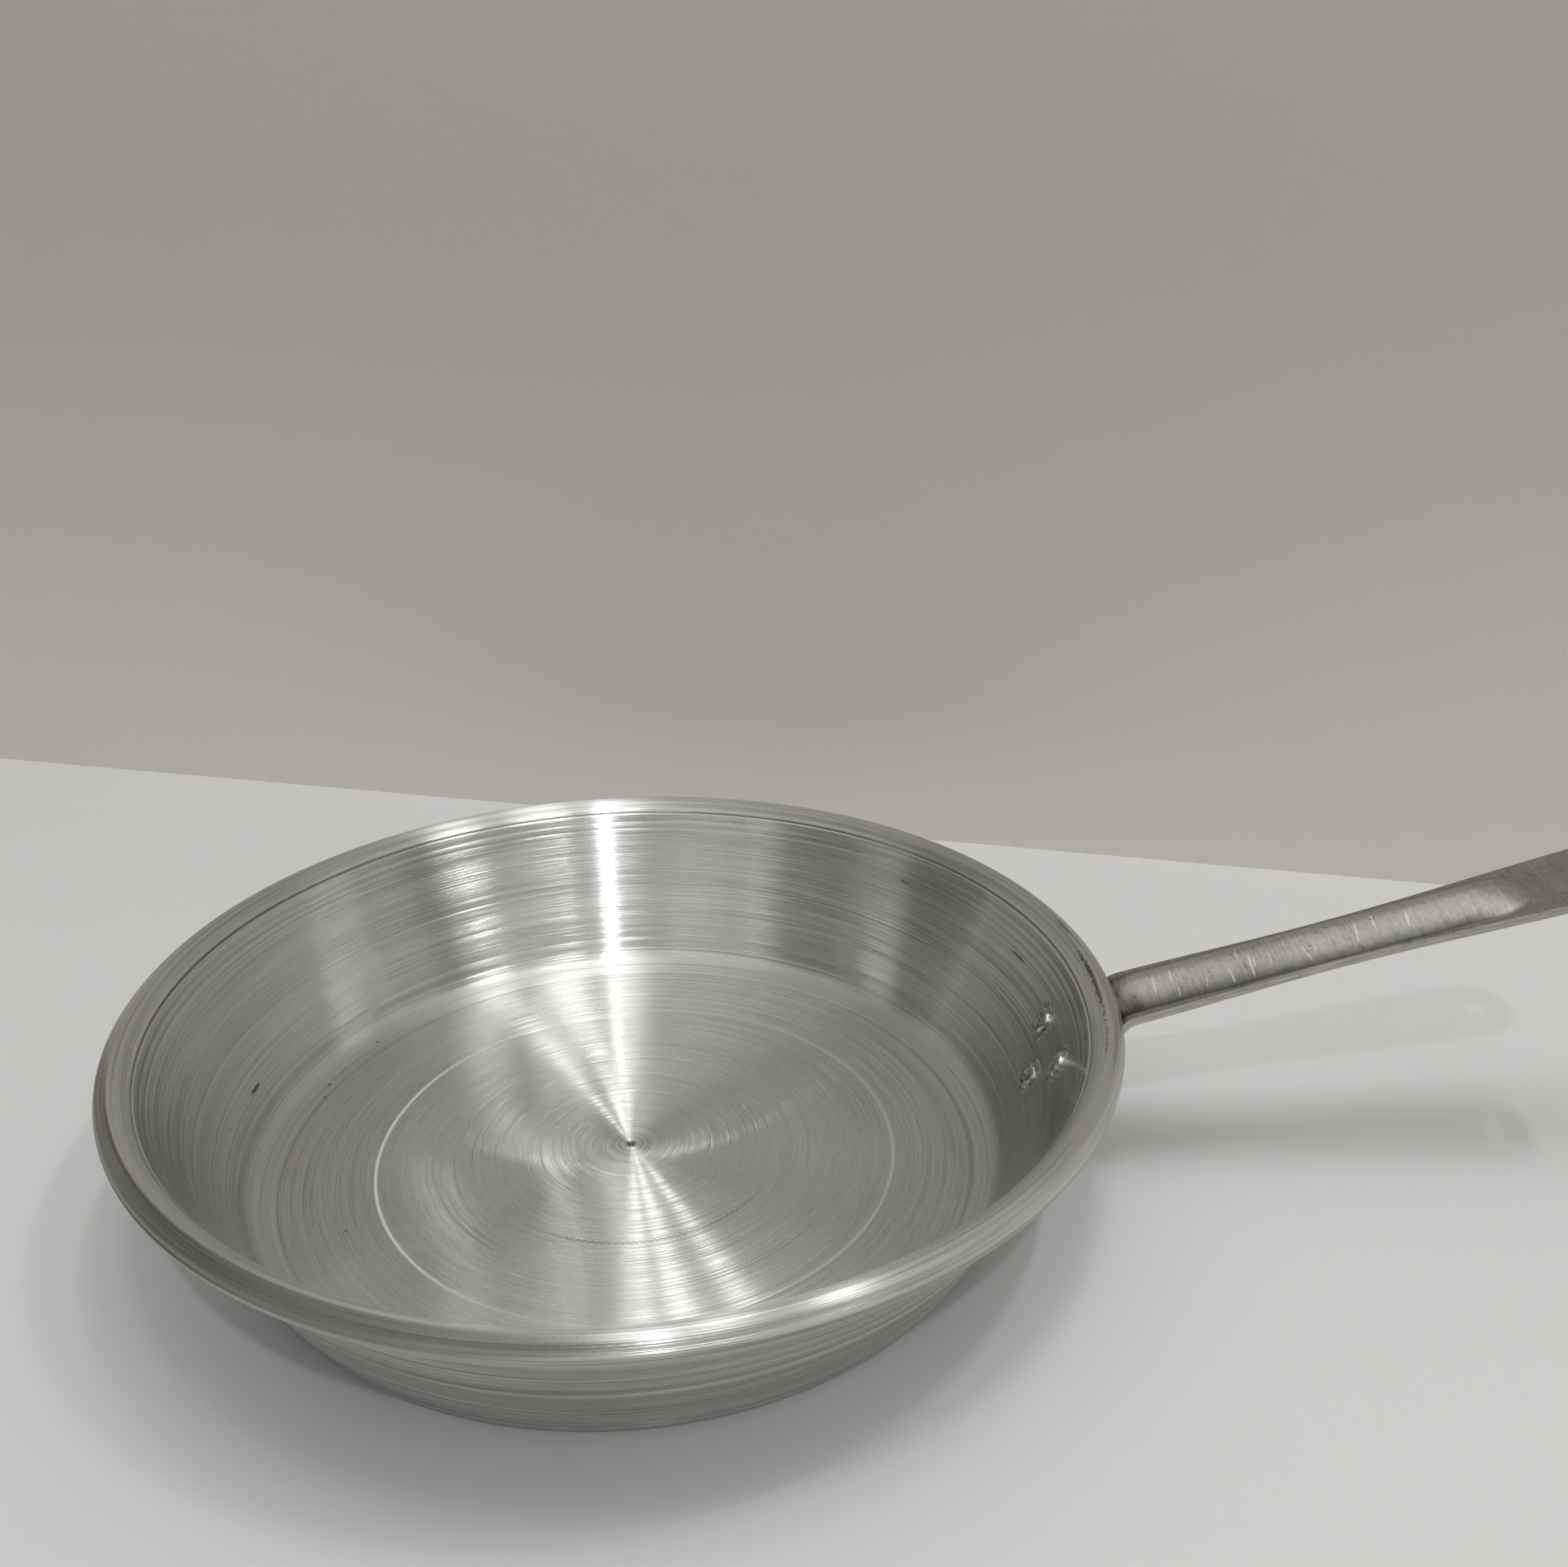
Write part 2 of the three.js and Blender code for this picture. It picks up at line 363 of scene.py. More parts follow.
class Graph:
    """The nodes of one material or of the world."""

    def __init__(self, tree: bpy.types.NodeTree) -> None:
        """Starts with an empty tree.

        Args:
            tree: The tree to fill.
        """
        self.tree = tree
        tree.nodes.clear()

    @classmethod
    def of_material(cls, name: str) -> tuple["Graph", bpy.types.Material]:
        """Makes a material with an empty tree.

        Args:
            name: The material's name.

        Returns:
            The tree and the material.
        """
        material = bpy.data.materials.new(name)
        material.use_nodes = True
        return cls(material.node_tree), material

    def node(self, kind: str, settings: dict[str, object], inputs: dict) -> bpy.types.Node:
        """Adds one node.

        Args:
            kind: The node's type.
            settings: Its settings, set first.
            inputs: Values or links of its sockets, by name or number.

        Returns:
            The node.
        """
        made = self.tree.nodes.new(kind)
        for key, setting in settings.items():
            setattr(made, key, setting)
        for key, given in inputs.items():
            socket = made.inputs[key]
            if isinstance(given, Value):
                self.tree.links.new(given.socket, socket)
            elif isinstance(given, bpy.types.NodeSocket):
                self.tree.links.new(given, socket)
            else:
                socket.default_value = given
        return made

    def value(self, kind: str, settings: dict[str, object], inputs: dict) -> Value:
        """Adds one node and wraps its first result."""
        return Value(self, self.node(kind, settings, inputs).outputs[0])

    def parts(self, vector: bpy.types.NodeSocket) -> tuple[Value, ...]:
        """Takes a vector apart into its three numbers."""
        split = self.node("ShaderNodeSeparateXYZ", {}, {0: vector})
        return tuple(Value(self, socket) for socket in split.outputs)

    def point(self, kind: str = "Object") -> bpy.types.NodeSocket:
        """Gives the surface point, by default in the object's own coordinates."""
        return self.node("ShaderNodeTexCoord", {}, {}).outputs[kind]

    def vector_math(self, operation: str, inputs: dict) -> bpy.types.Node:
        """Adds one Vector Math node."""
        return self.node("ShaderNodeVectorMath", {"operation": operation}, inputs)

    def vector(self, x: Value | float, y: Value | float, z: Value | float) -> Value:
        """Joins three numbers into a vector."""
        return self.value("ShaderNodeCombineXYZ", {}, {0: x, 1: y, 2: z})

    def noise(self, where: Sequence[Value], scales: Scales, detail: int = 2) -> Value:
        """Adds a noise pattern.

        Args:
            where: The three numbers that place a point in it.
            scales: Patches in a metre along each of these.
            detail: Number of finer layers.

        Returns:
            A number about 0, seldom past a half either way.
        """
        stretched = self.vector(*(part * scale for part, scale in zip(where, scales)))
        inputs = {"Vector": stretched, "Scale": 1.0, "Detail": detail}
        return self.value("ShaderNodeTexNoise", {}, inputs) - 0.5

    def distance(self, point: Vector) -> Value:
        """Measures how far the surface point is from a fixed one."""
        offset = self.vector_math("SUBTRACT", {0: self.point(), 1: point}).outputs[0]
        return Value(self, self.vector_math("LENGTH", {0: offset}).outputs["Value"])

    def mix(self, share: Value | float, first: object, second: object) -> bpy.types.NodeSocket:
        """Mixes two colours.

        Args:
            share: 0 gives the first, 1 the second.
            first: A colour or a colour socket.
            second: A colour or a colour socket.

        Returns:
            The mixed colour.
        """
        given = [(*c, 1.0) if isinstance(c, tuple) else c for c in (first, second)]
        inputs = {0: share, 6: given[0], 7: given[1]}
        return self.node("ShaderNodeMix", {"data_type": "RGBA"}, inputs).outputs[2]

    def bump(self, height: Value, strength: float, depth: float) -> bpy.types.NodeSocket:
        """Turns a height into a normal.

        Args:
            height: The height, from 0 to 1.
            strength: How strongly it shows.
            depth: The real height of 1.

        Returns:
            The normal.
        """
        inputs = {"Height": height, "Strength": strength, "Distance": depth}
        return self.node("ShaderNodeBump", {}, inputs).outputs[0]

    def normal(self) -> bpy.types.NodeSocket:
        """Gives the surface's own normal."""
        return self.node("ShaderNodeNewGeometry", {}, {}).outputs["Normal"]

    def grooved(self, cosine: Value, sine: Value, tilt: Value) -> bpy.types.NodeSocket:
        """Tips the normal across the turning lines only, so that a light stays narrow along them.

        Args:
            cosine: Cosine of the angle round the Z axis.
            sine: Sine of that angle.
            tilt: Slope of the groove's flank.

        Returns:
            The normal.
        """
        square = self.normal()
        along = self.vector(sine * -1.0, cosine, 0.0)
        across = self.vector_math("CROSS_PRODUCT", {0: square, 1: along}).outputs[0]
        tip = self.vector_math("SCALE", {0: across, "Scale": tilt}).outputs[0]
        leaning = self.vector_math("ADD", {0: square, 1: tip}).outputs[0]
        return self.vector_math("NORMALIZE", {0: leaning}).outputs[0]

    def metal(self, inputs: dict) -> None:
        """Ends the tree in one metal surface.

        Args:
            inputs: Values or links of the Principled sockets.
        """
        surface = self.node("ShaderNodeBsdfPrincipled", {}, {"Metallic": 1.0, **inputs})
        self.node("ShaderNodeOutputMaterial", {}, {"Surface": surface.outputs[0]})


def facing(cosine: Value, sine: Value, heading: float) -> Value:
    """Gives 1 towards a heading, 0 square to it and -1 away from it.

    Args:
        cosine: Cosine of the angle round the Z axis.
        sine: Sine of that angle.
        heading: The angle to face.

    Returns:
        A number from -1 to 1.
    """
    return cosine * math.cos(heading) + sine * math.sin(heading)


@dataclass(frozen=True)
class Zones:
    """Where the surface point lies on the pan, as shares from 0 to 1. The wall is all above the floor."""

    wall: Value
    rim: Value
    inside: Value
    outside: Value


@dataclass(frozen=True)
class Strength:
    """How strongly something shows on the floor, and what the wall, the rim and the outside add to that."""

    floor: float
    wall: float = 0.0
    rim: float = 0.0
    outside: float = 0.0

    def over(self, zones: Zones) -> Value:
        """Gives the strength at the surface point."""
        return self.floor + zones.wall * self.wall + zones.rim * self.rim + zones.outside * self.outside


@dataclass(frozen=True)
class Rings:
    """Turning lines of one fineness.

    They are given by lines in a metre, changes of a line in a metre of its length, and how strongly they
    change the metal's tone and its slope.
    """

    lines: float
    breaks: float
    tone: Strength
    slope: Strength


@dataclass(frozen=True)
class RingMark:
    """A turning line or band, paler or darker than the metal beside it.

    Its place and half width are in mm. The place is radius plus height on the inside, and height alone on
    the outside.
    """

    at: float
    half: float
    tone: float
    broken: float = 0.6


@dataclass(frozen=True)
class Blemish:
    """A pit, scuff, nick or broad darker band, drawn out along the turning lines.

    Its turn and its reach along the lines are in degrees. Its place across them, which is radius plus height,
    and its half width are in mm.
    """

    turn: float
    at: float
    reach: float
    half: float
    tone: float
    rough: float = 2.4


@dataclass(frozen=True)
class SpunAluminium:
    """Aluminium spun on a lathe, with rings round the axis that stretch every light into a streak."""

    bright: Colour = (0.88, 0.88, 0.87)
    dull: Colour = (0.58, 0.58, 0.565)
    # dark: colour of dark marks, and also of the painted shade round the rivet heads and under the roll.
    dark: Colour = (0.13, 0.118, 0.105)
    fresh: Colour = (1.0, 1.0, 0.99)
    roughness: Strength = Strength(0.28, wall=-0.09, rim=0.1)
    # The outside is much darker than the inside: partly its duller finish, partly painted shade where it
    # faces the shaded table.
    paleness: Strength = Strength(0.55, outside=-0.5)
    anisotropy: float = 1.0
    turned: float = 0.25
    flare: float = 1 / math.tan(math.radians(63.56))
    wall_from: Span = (3.2 * MM, 8 * MM)
    rim_from: Span = (140.5 * MM, 142 * MM)
    rim_above: Span = (50 * MM, 52 * MM)
    outside_foot: Span = (113.35 * MM, 114.9 * MM)
    outside_above: Span = (0.2 * MM, 1.5 * MM)
    outside_below: Span = (52.5 * MM, 50.5 * MM)
    hair: Rings = Rings(17000.0, 14.0, Strength(0.3), Strength(3.6, wall=-2.2, rim=1.6, outside=0.8))
    fine: Rings = Rings(3300.0, 30.0, Strength(0.35, rim=0.4), Strength(0.3, wall=-0.12))
    medium: Rings = Rings(1150.0, 9.0, Strength(0.12, wall=0.3, outside=0.8), Strength(0.0, outside=0.25))
    broad: Rings = Rings(150.0, 2.5, Strength(0.0, wall=0.5, outside=0.5), Strength(0.0))
    fine_roughness: float = 0.06
    rim_rings: Span = (-0.08, -0.2)
    rim_ring_shade: float = 0.2
    patch_scales: Scales = (90.0, 14.0, 14.0)
    patch_edge: Span = (-0.1, 0.1)
    grit_scales: Scales = (1300.0, 1300.0, 1300.0)
    grit_shade: float = 0.1
    blemish_edge: Span = (1.0, 0.4)
    # Painted shade: a dark ring on the wall round each rivet head.
    rivet_shade_radius: float = 4.3 * MM
    rivet_shade_half: float = 0.7 * MM
    rivet_shade_depth: float = 0.95
    # Painted shade on the lower outer side of the roll.
    roll_side: Span = (146.5 * MM, 148.5 * MM)
    roll_below: Span = (57 * MM, 55 * MM)
    roll_above: Span = (52.8 * MM, 53.8 * MM)
    roll_shade: float = 0.35
    shade_roughness: float = 0.15
    fillet_at: float = 118 * MM
    fillet_half: float = 8 * MM
    fillet_roughness: float = 0.12
    scribed_centre: Span = (2.17 * MM, -0.38 * MM)
    scribed_radius: float = 81.2 * MM
    scribed_half: float = 0.85 * MM
    scribed_towards: float = math.radians(178)
    scribed_fade: Span = (0.2, 0.9)
    scribed_faint: float = 0.35
    scribed_strong: float = 0.9
    scribed_roughness: float = 0.2
    scribed_bare: float = 0.7
    scribed_flat: float = 0.3
    chatter_at: float = 50.6 * MM
    chatter_half: float = 0.6 * MM
    chatter_wave: float = 0.3 * MM
    chatter_teeth: float = 148.0
    chatter_towards: float = math.radians(-78)
    chatter_fade: Span = (0.55, 0.95)
    chatter_shade: float = 0.55
    inner_marks: tuple[RingMark, ...] = (
        RingMark(3.3, 2.0, -0.9, 0.0),
        RingMark(5.6, 0.45, 0.4, 0.0),
        RingMark(6.7, 0.45, -0.35, 0.0),
        RingMark(8.4, 0.4, -0.3, 0.2),
        RingMark(10.6, 0.45, 0.35, 0.2),
        RingMark(12.4, 0.4, -0.25, 0.3),
        RingMark(95.0, 0.35, 0.3, 0.95),
        RingMark(98.8, 0.3, 0.25, 0.95),
        RingMark(110.9, 0.5, -0.35, 0.4),
        RingMark(112.4, 0.6, 0.5, 0.4),
        RingMark(117.1, 0.5, -0.3, 0.8),
        RingMark(118.0, 6.5, 0.3, 0.15),
        RingMark(123.9, 0.6, 0.5, 0.4),
        RingMark(125.2, 0.6, -0.4, 0.4),
        RingMark(129.0, 3.6, -0.14, 0.3),
        RingMark(126.8, 0.4, -0.3, 0.6),
        RingMark(132.2, 0.4, -0.3, 0.6),
        RingMark(137.5, 0.4, -0.22, 0.9),
        RingMark(145.5, 0.35, 0.3, 0.8),
        RingMark(159.0, 0.45, -0.35, 0.5),
        RingMark(171.0, 0.35, -0.2, 0.9),
        RingMark(185.8, 0.5, -0.3, 0.8),
        RingMark(188.5, 0.6, -0.35, 0.7),
        RingMark(191.2, 0.5, -0.28, 0.8),
        RingMark(194.2, 1.6, 0.25, 0.3),
        RingMark(196.4, 0.75, -0.75, 0.25),
        RingMark(198.4, 0.7, 0.25, 0.5),
        RingMark(200.8, 0.45, -0.35, 0.8),
    )
    outer_marks: tuple[RingMark, ...] = (
        RingMark(4.4, 0.7, -0.45, 0.2),
        RingMark(8.5, 2.8, 0.25, 0.3),
        RingMark(11.1, 0.4, 0.4, 0.5),
        RingMark(12.6, 1.4, -0.2, 0.4),
        RingMark(14.0, 0.45, -0.35, 0.5),
        RingMark(14.8, 0.4, 0.4, 0.5),
        RingMark(18.0, 2.2, -0.16, 0.5),
        RingMark(20.6, 0.4, -0.25, 0.8),
        RingMark(22.8, 0.5, 0.35, 0.5),
        RingMark(24.5, 0.6, -0.42, 0.3),
        RingMark(31.5, 0.5, -0.2, 0.8),
        RingMark(36.0, 0.6, 0.2, 0.8),
        RingMark(41.0, 0.6, -0.22, 0.7),
    )
    blemishes: tuple[Blemish, ...] = (
        Blemish(174.9, 138.9, 1.7, 0.9, -0.9),
        Blemish(-173.9, 140.5, 0.5, 0.5, -0.5),
        Blemish(18.5, 180.5, 2.2, 0.7, -0.8),
        Blemish(46.0, 181.8, 1.2, 0.6, -0.6),
        Blemish(11.0, 161.3, 0.9, 0.5, -0.6),
        Blemish(44.0, 124.2, 0.5, 0.6, -0.6),
        Blemish(147.6, 115.7, 0.3, 0.6, -0.7),
        Blemish(161.8, 113.5, 0.4, 0.7, -0.8),
        Blemish(165.3, 111.2, 0.3, 0.6, -0.6),
        Blemish(-153.0, 93.3, 0.5, 0.6, -0.5),
        Blemish(104.5, 185.0, 0.8, 0.7, 0.6),
        Blemish(3.4, 164.3, 0.9, 0.4, 0.5),
        Blemish(-8.6, 169.3, 0.9, 0.4, 0.5),
        Blemish(-4.9, 150.6, 1.1, 0.4, 0.5),
        Blemish(-5.5, 158.4, 0.9, 0.4, 0.4),
        Blemish(0.5, 161.0, 1.2, 0.4, -0.5),
        Blemish(8.8, 181.0, 0.14, 3.6, -0.4),
        Blemish(1.0, 203.8, 8.5, 1.1, -0.7, 5.0),
        Blemish(-12.0, 204.4, 4.0, 0.6, -0.5, 5.0),
        Blemish(15.0, 205.6, 2.6, 0.9, -0.5, 5.0),
        Blemish(14.3, 206.8, 1.0, 0.5, 0.9),
        Blemish(9.4, 203.0, 0.7, 0.4, 0.9),
        Blemish(77.4, 203.9, 0.3, 0.7, 0.9),
        # A broad dark brown band on the outside of the roll at the front left.
        Blemish(-128.0, 207.4, 50.0, 2.0, -0.52, 0.15),
    )

    def material(self, seats: Sequence[Vector]) -> bpy.types.Material:
        """Builds the finish.

        Args:
            seats: Where the rivet heads sit on the wall. Painted shade rings them.

        Returns:
            The material.
        """
        graph, material = Graph.of_material("spun_aluminium")
        x, y, z = graph.parts(graph.point())
        radius = (x * x + y * y).math("SQRT").math("MAXIMUM", TINY)
        cosine = x / radius
        sine = y / radius
        angle = y.math("ARCTAN2", x)
        across = radius + z
        zones = self.zones(radius, z)
        inside = zones.inside
        rings = (self.hair, self.fine, self.medium, self.broad)
        lines = [graph.noise((across, x, y), (ring.lines, ring.breaks, ring.breaks), 0) for ring in rings]
        _, fine, medium, _ = lines
        pale = self.paleness.over(zones)
        flank = 0.0
        for ring, line in zip(rings, lines):
            pale = pale + line * ring.tone.over(zones)
            flank = line * ring.slope.over(zones) + flank
        patch = graph.noise((across, x, y), self.patch_scales, detail=0).rise(*self.patch_edge)
        grit = graph.noise((x, y, z), self.grit_scales)
        shade = (0.0 - grit).clamp() * self.grit_shade
        shade = shade + medium.rise(*self.rim_rings) * zones.rim * self.rim_ring_shade
        for place, side, marks in ((across, inside, self.inner_marks), (z, zones.outside, self.outer_marks)):
            for mark in marks:
                shown = place.near(mark.at * MM, mark.half * MM) * side
                shown = shown * (patch * mark.broken + (1.0 - mark.broken))
                pale = pale + shown * max(mark.tone, 0.0)
                shade = shade + shown * max(-mark.tone, 0.0)
        for spot in self.blemishes:
            along = (angle - math.radians(spot.turn)) / math.radians(spot.reach)
            over = (across - spot.at * MM) / (spot.half * MM)
            shown = (along * along + over * over + grit * spot.rough).rise(*self.blemish_edge) * inside
            pale = pale + shown * max(spot.tone, 0.0)
            shade = shade + shown * max(-spot.tone, 0.0)
        # Painted shade round each rivet head on the wall.
        for seat in seats:
            rivet_shade = graph.distance(seat).near(self.rivet_shade_radius, self.rivet_shade_half) * inside
            shade = shade + rivet_shade * self.rivet_shade_depth
        # Painted shade on the lower outer side of the roll.
        under = radius.rise(*self.roll_side) * z.rise(*self.roll_below) * z.rise(*self.roll_above)
        shade = shade + under * self.roll_shade
        shade = shade + self.chatter(across, angle, cosine, sine) * inside * self.chatter_shade
        scribed = self.scribed(x, y, cosine, sine) * inside
        metal = graph.mix(pale.clamp(), self.dull, self.bright)
        metal = graph.mix(scribed, metal, self.fresh)
        rough = self.roughness.over(zones) + fine * self.fine_roughness
        rough = rough + across.near(self.fillet_at, self.fillet_half) * inside * self.fillet_roughness
        graph.metal({
            "Base Color": graph.mix(shade.clamp(), metal, self.dark),
            "Roughness": rough + shade * self.shade_roughness + scribed * self.scribed_roughness,
            "Metallic": 1.0 - scribed * self.scribed_bare,
            "Anisotropic": self.anisotropy,
            "Anisotropic Rotation": self.turned,
            "Normal": graph.grooved(cosine, sine, flank * (1.0 - scribed * self.scribed_flat)),
        })
        return material

    def zones(self, radius: Value, z: Value) -> Zones:
        """Finds where the surface point lies on the pan.

        Args:
            radius: Its distance from the axis.
            z: Its height.

        Returns:
            Its zones.
        """
        foot = radius - z * self.flare
        outside = foot.rise(*self.outside_foot) * z.rise(*self.outside_above) * z.rise(*self.outside_below)
        rim = radius.rise(*self.rim_from) * z.rise(*self.rim_above)
        return Zones(z.rise(*self.wall_from), rim, 1.0 - outside, outside)

    def scribed(self, x: Value, y: Value, cosine: Value, sine: Value) -> Value:
        """Gives the pale ring that was scribed on the floor a little off centre.

        Args:
            x: Place along the handle.
            y: Place across it.
            cosine: Cosine of the angle round the axis.
            sine: Sine of that angle.

        Returns:
            A share from 0 to 1.
        """
        along = x - self.scribed_centre[0]
        over = y - self.scribed_centre[1]
        radius = (along * along + over * over).math("SQRT")
        strong = facing(cosine, sine, self.scribed_towards).rise(*self.scribed_fade)
        shown = strong * (self.scribed_strong - self.scribed_faint) + self.scribed_faint
        return radius.near(self.scribed_radius, self.scribed_half) * shown

    def chatter(self, across: Value, angle: Value, cosine: Value, sine: Value) -> Value:
        """Gives the fine zigzag ring that a shaking tool left on the floor.

        Args:
            across: Distance across the lines.
            angle: Angle round the axis.
            cosine: Its cosine.
            sine: Its sine.

        Returns:
            A share from 0 to 1.
        """
        strong = facing(cosine, sine, self.chatter_towards).rise(*self.chatter_fade)
        wave = (angle * self.chatter_teeth).math("SINE") * self.chatter_wave
        return (across + wave).near(self.chatter_at, self.chatter_half) * strong


@dataclass(frozen=True)
class Scratch:
    """A straight scratch on the grip, given by its middle and half length in mm, its slant and its tone."""

    along: float
    side: float
    half: float
    slant: float
    tone: float


@dataclass(frozen=True)
class SatinSteel:
    """Steel plate rubbed across its length, with longer scratches and a paler cut edge. Across the arch it is
    painted dark on the near flank and pale on the near slope: partly wear, partly painted shade and a painted
    highlight.
    """

    black: Colour = (0.0, 0.0, 0.0)
    white: Colour = (1.0, 0.975, 0.935)
    plain: float = 0.36
    # Levels across the arch: dark on the near flank (painted shade, partly tarnish) and pale on the near
    # slope (painted highlight, partly wear).
    tarnish_and_shade: float = 0.07
    wear_and_highlight: float = 0.84
    cut: float = 0.46
    roughness: float = 0.42
    arch_half: float = 10.9 * MM
    arch_end: float = 264 * MM
    arch_fade: float = 20 * MM
    rise: float = math.radians(16.9)
    rubbed_scales: Scales = (1900.0, 60.0, 60.0)
    speckle_scales: Scales = (1500.0, 500.0, 300.0)
    grain_scales: Scales = (420.0, 420.0, 420.0)
    cloud_scales: Scales = (40.0, 60.0, 60.0)
    sawn_scales: Scales = (90.0, 1400.0, 2600.0)
    sawn_slant: float = 0.30385
    rubbed_tone: float = 0.6
    speckle_tone: float = 0.5
    sawn_tone: float = 1.4
    cloud_tone: float = 0.4
    pit_edge: Span = (0.1, 0.22)
    pit_tone: float = 0.3
    edge_lean: Span = (0.62, 0.85)
    arch_edge: Span = (1.12, 0.93)
    # Where the painted highlight and wear rise on the near side of the arch and fall off towards the far
    # side.
    wear_and_highlight_near: Span = (-10.8 * MM, -0.8 * MM)
    wear_and_highlight_far: tuple[Span, ...] = ((-0.8 * MM, 3.5 * MM), (3.5 * MM, 10.5 * MM))
    wear_and_highlight_loss: float = 0.42
    grain_roughness: float = 0.2
    cloud_roughness: float = 0.12
    bump_shares: Span = (0.7, 0.3)
    bump_strength: float = 0.3
    bump_depth: float = 0.05 * MM
    scratch_width: float = 0.42 * MM
    scratch_tone: float = 0.4
    scratch_bare: float = 0.9
    scratches: tuple[Scratch, ...] = (
        Scratch(194.5, -7.0, 3.2, -0.05, 0.8),
        Scratch(201.0, -5.4, 5.0, 0.08, 1.0),
        Scratch(202.2, -4.6, 2.6, 0.1, 0.7),
        Scratch(233.3, -3.8, 4.4, 0.2, 0.9),
        Scratch(217.4, -6.6, 3.5, -0.21, 0.6),
        Scratch(198.2, 1.0, 4.5, 0.09, 0.6),
        Scratch(187.0, -7.2, 2.2, 0.21, 0.6),
        Scratch(239.4, -0.9, 4.3, 0.17, 0.7),
        Scratch(172.0, -3.0, 5.0, 0.1, 0.6),
        Scratch(178.3, -7.8, 2.2, 0.08, 0.6),
        Scratch(177.4, -1.6, 3.6, 0.14, 0.6),
        Scratch(207.0, -4.8, 3.0, 0.13, 0.5),
        Scratch(248.6, -3.5, 4.2, 0.2, 1.0),
        Scratch(225.5, 3.5, 2.2, -0.9, -0.6),
    )

    def material(self) -> bpy.types.Material:
        """Builds the finish.

        Returns:
            The material.
        """
        graph, material = Graph.of_material("satin_steel")
        x, y, z = graph.parts(graph.point())
        along = x * math.cos(self.rise) + z * math.sin(self.rise)
        fine = graph.noise((along, y, z), self.rubbed_scales)
        speckle = graph.noise((along, y, z), self.speckle_scales, detail=1)
        grain = graph.noise((x, y, z), self.grain_scales, detail=3)
        cloud = graph.noise((x, y, z), self.cloud_scales)
        sawn = graph.noise((along, y, z - x * self.sawn_slant), self.sawn_scales)
        edge = abs(graph.parts(graph.normal())[1]).rise(*self.edge_lean)
        face = 1.0 - edge
        # Painted shade on the near flank and a painted highlight on the near slope of the arch, partly wear.
        wear_and_highlight_share = 1.0
        for span in self.wear_and_highlight_far:
            wear_and_highlight_share = wear_and_highlight_share - y.rise(*span) * self.wear_and_highlight_loss
        wear_and_highlight_share = wear_and_highlight_share * y.rise(*self.wear_and_highlight_near)
        wear_and_highlight = self.tarnish_and_shade + wear_and_highlight_share * (self.wear_and_highlight - self.tarnish_and_shade)
        past = ((along - self.arch_end) / self.arch_fade).math("MAXIMUM", 0.0)
        over = y / self.arch_half
        arch = (over * over).rise(*self.arch_edge) * past.rise(1.0, 0.0)
        level = self.plain + arch * (wear_and_highlight - self.plain)
        level = level + edge * (self.cut - level)
        rubbed = fine * self.rubbed_tone + speckle * self.speckle_tone
        level = level * (1.0 + face * rubbed + edge * sawn * self.sawn_tone + cloud * self.cloud_tone)
        level = level * (1.0 - grain.rise(*self.pit_edge) * self.pit_tone)
        bare = 0.0
        for scratch in self.scratches:
            shown = self.drawn(along, y, scratch) * face
            level = level + shown * (scratch.tone * self.scratch_tone)
            bare = shown * max(scratch.tone, 0.0) + bare
        height = fine * self.bump_shares[0] + grain * self.bump_shares[1]
        graph.metal({
            "Base Color": graph.mix(level.clamp(), self.black, self.white),
            "Metallic": 1.0 - bare.clamp() * self.scratch_bare,
            "Roughness": self.roughness + grain * self.grain_roughness + cloud * self.cloud_roughness,
            "Normal": graph.bump(height, self.bump_strength, self.bump_depth),
        })
        return material

    def drawn(self, along: Value, side: Value, scratch: Scratch) -> Value:
        """Gives the mask of one scratch.

        Args:
            along: Place along the grip.
            side: Place across it.
            scratch: The scratch.

        Returns:
            A share from 0 to 1.
        """
        over = side - scratch.side * MM
        off = along - scratch.along * MM - over * scratch.slant
        half = scratch.half * MM
        return abs(off).rise(self.scratch_width, 0.0) * abs(over).rise(half, half / 2)


@dataclass(frozen=True)
class RivetAluminium:
    """Soft aluminium, smooth from the hammer, with small marks."""

    bright: Colour = (0.88, 0.88, 0.87)
    dull: Colour = (0.22, 0.22, 0.215)
    roughness: float = 0.38
    marks_roughness: float = 0.25
    marks_scales: Scales = (800.0, 800.0, 800.0)
    tone: float = 0.47
    marks_tone: float = 3.4
    bump_strength: float = 0.5
    bump_depth: float = 0.12 * MM

    def material(self) -> bpy.types.Material:
        """Builds the finish.

        Returns:
            The material.
        """
        graph, material = Graph.of_material("rivet_aluminium")
        marks = graph.noise(graph.parts(graph.point()), self.marks_scales, detail=3)
        tone = (self.tone + marks * self.marks_tone).clamp()
        graph.metal({
            "Base Color": graph.mix(tone, self.dull, self.bright),
            "Roughness": self.roughness + marks * self.marks_roughness,
            "Normal": graph.bump(marks, self.bump_strength, self.bump_depth),
        })
        return material


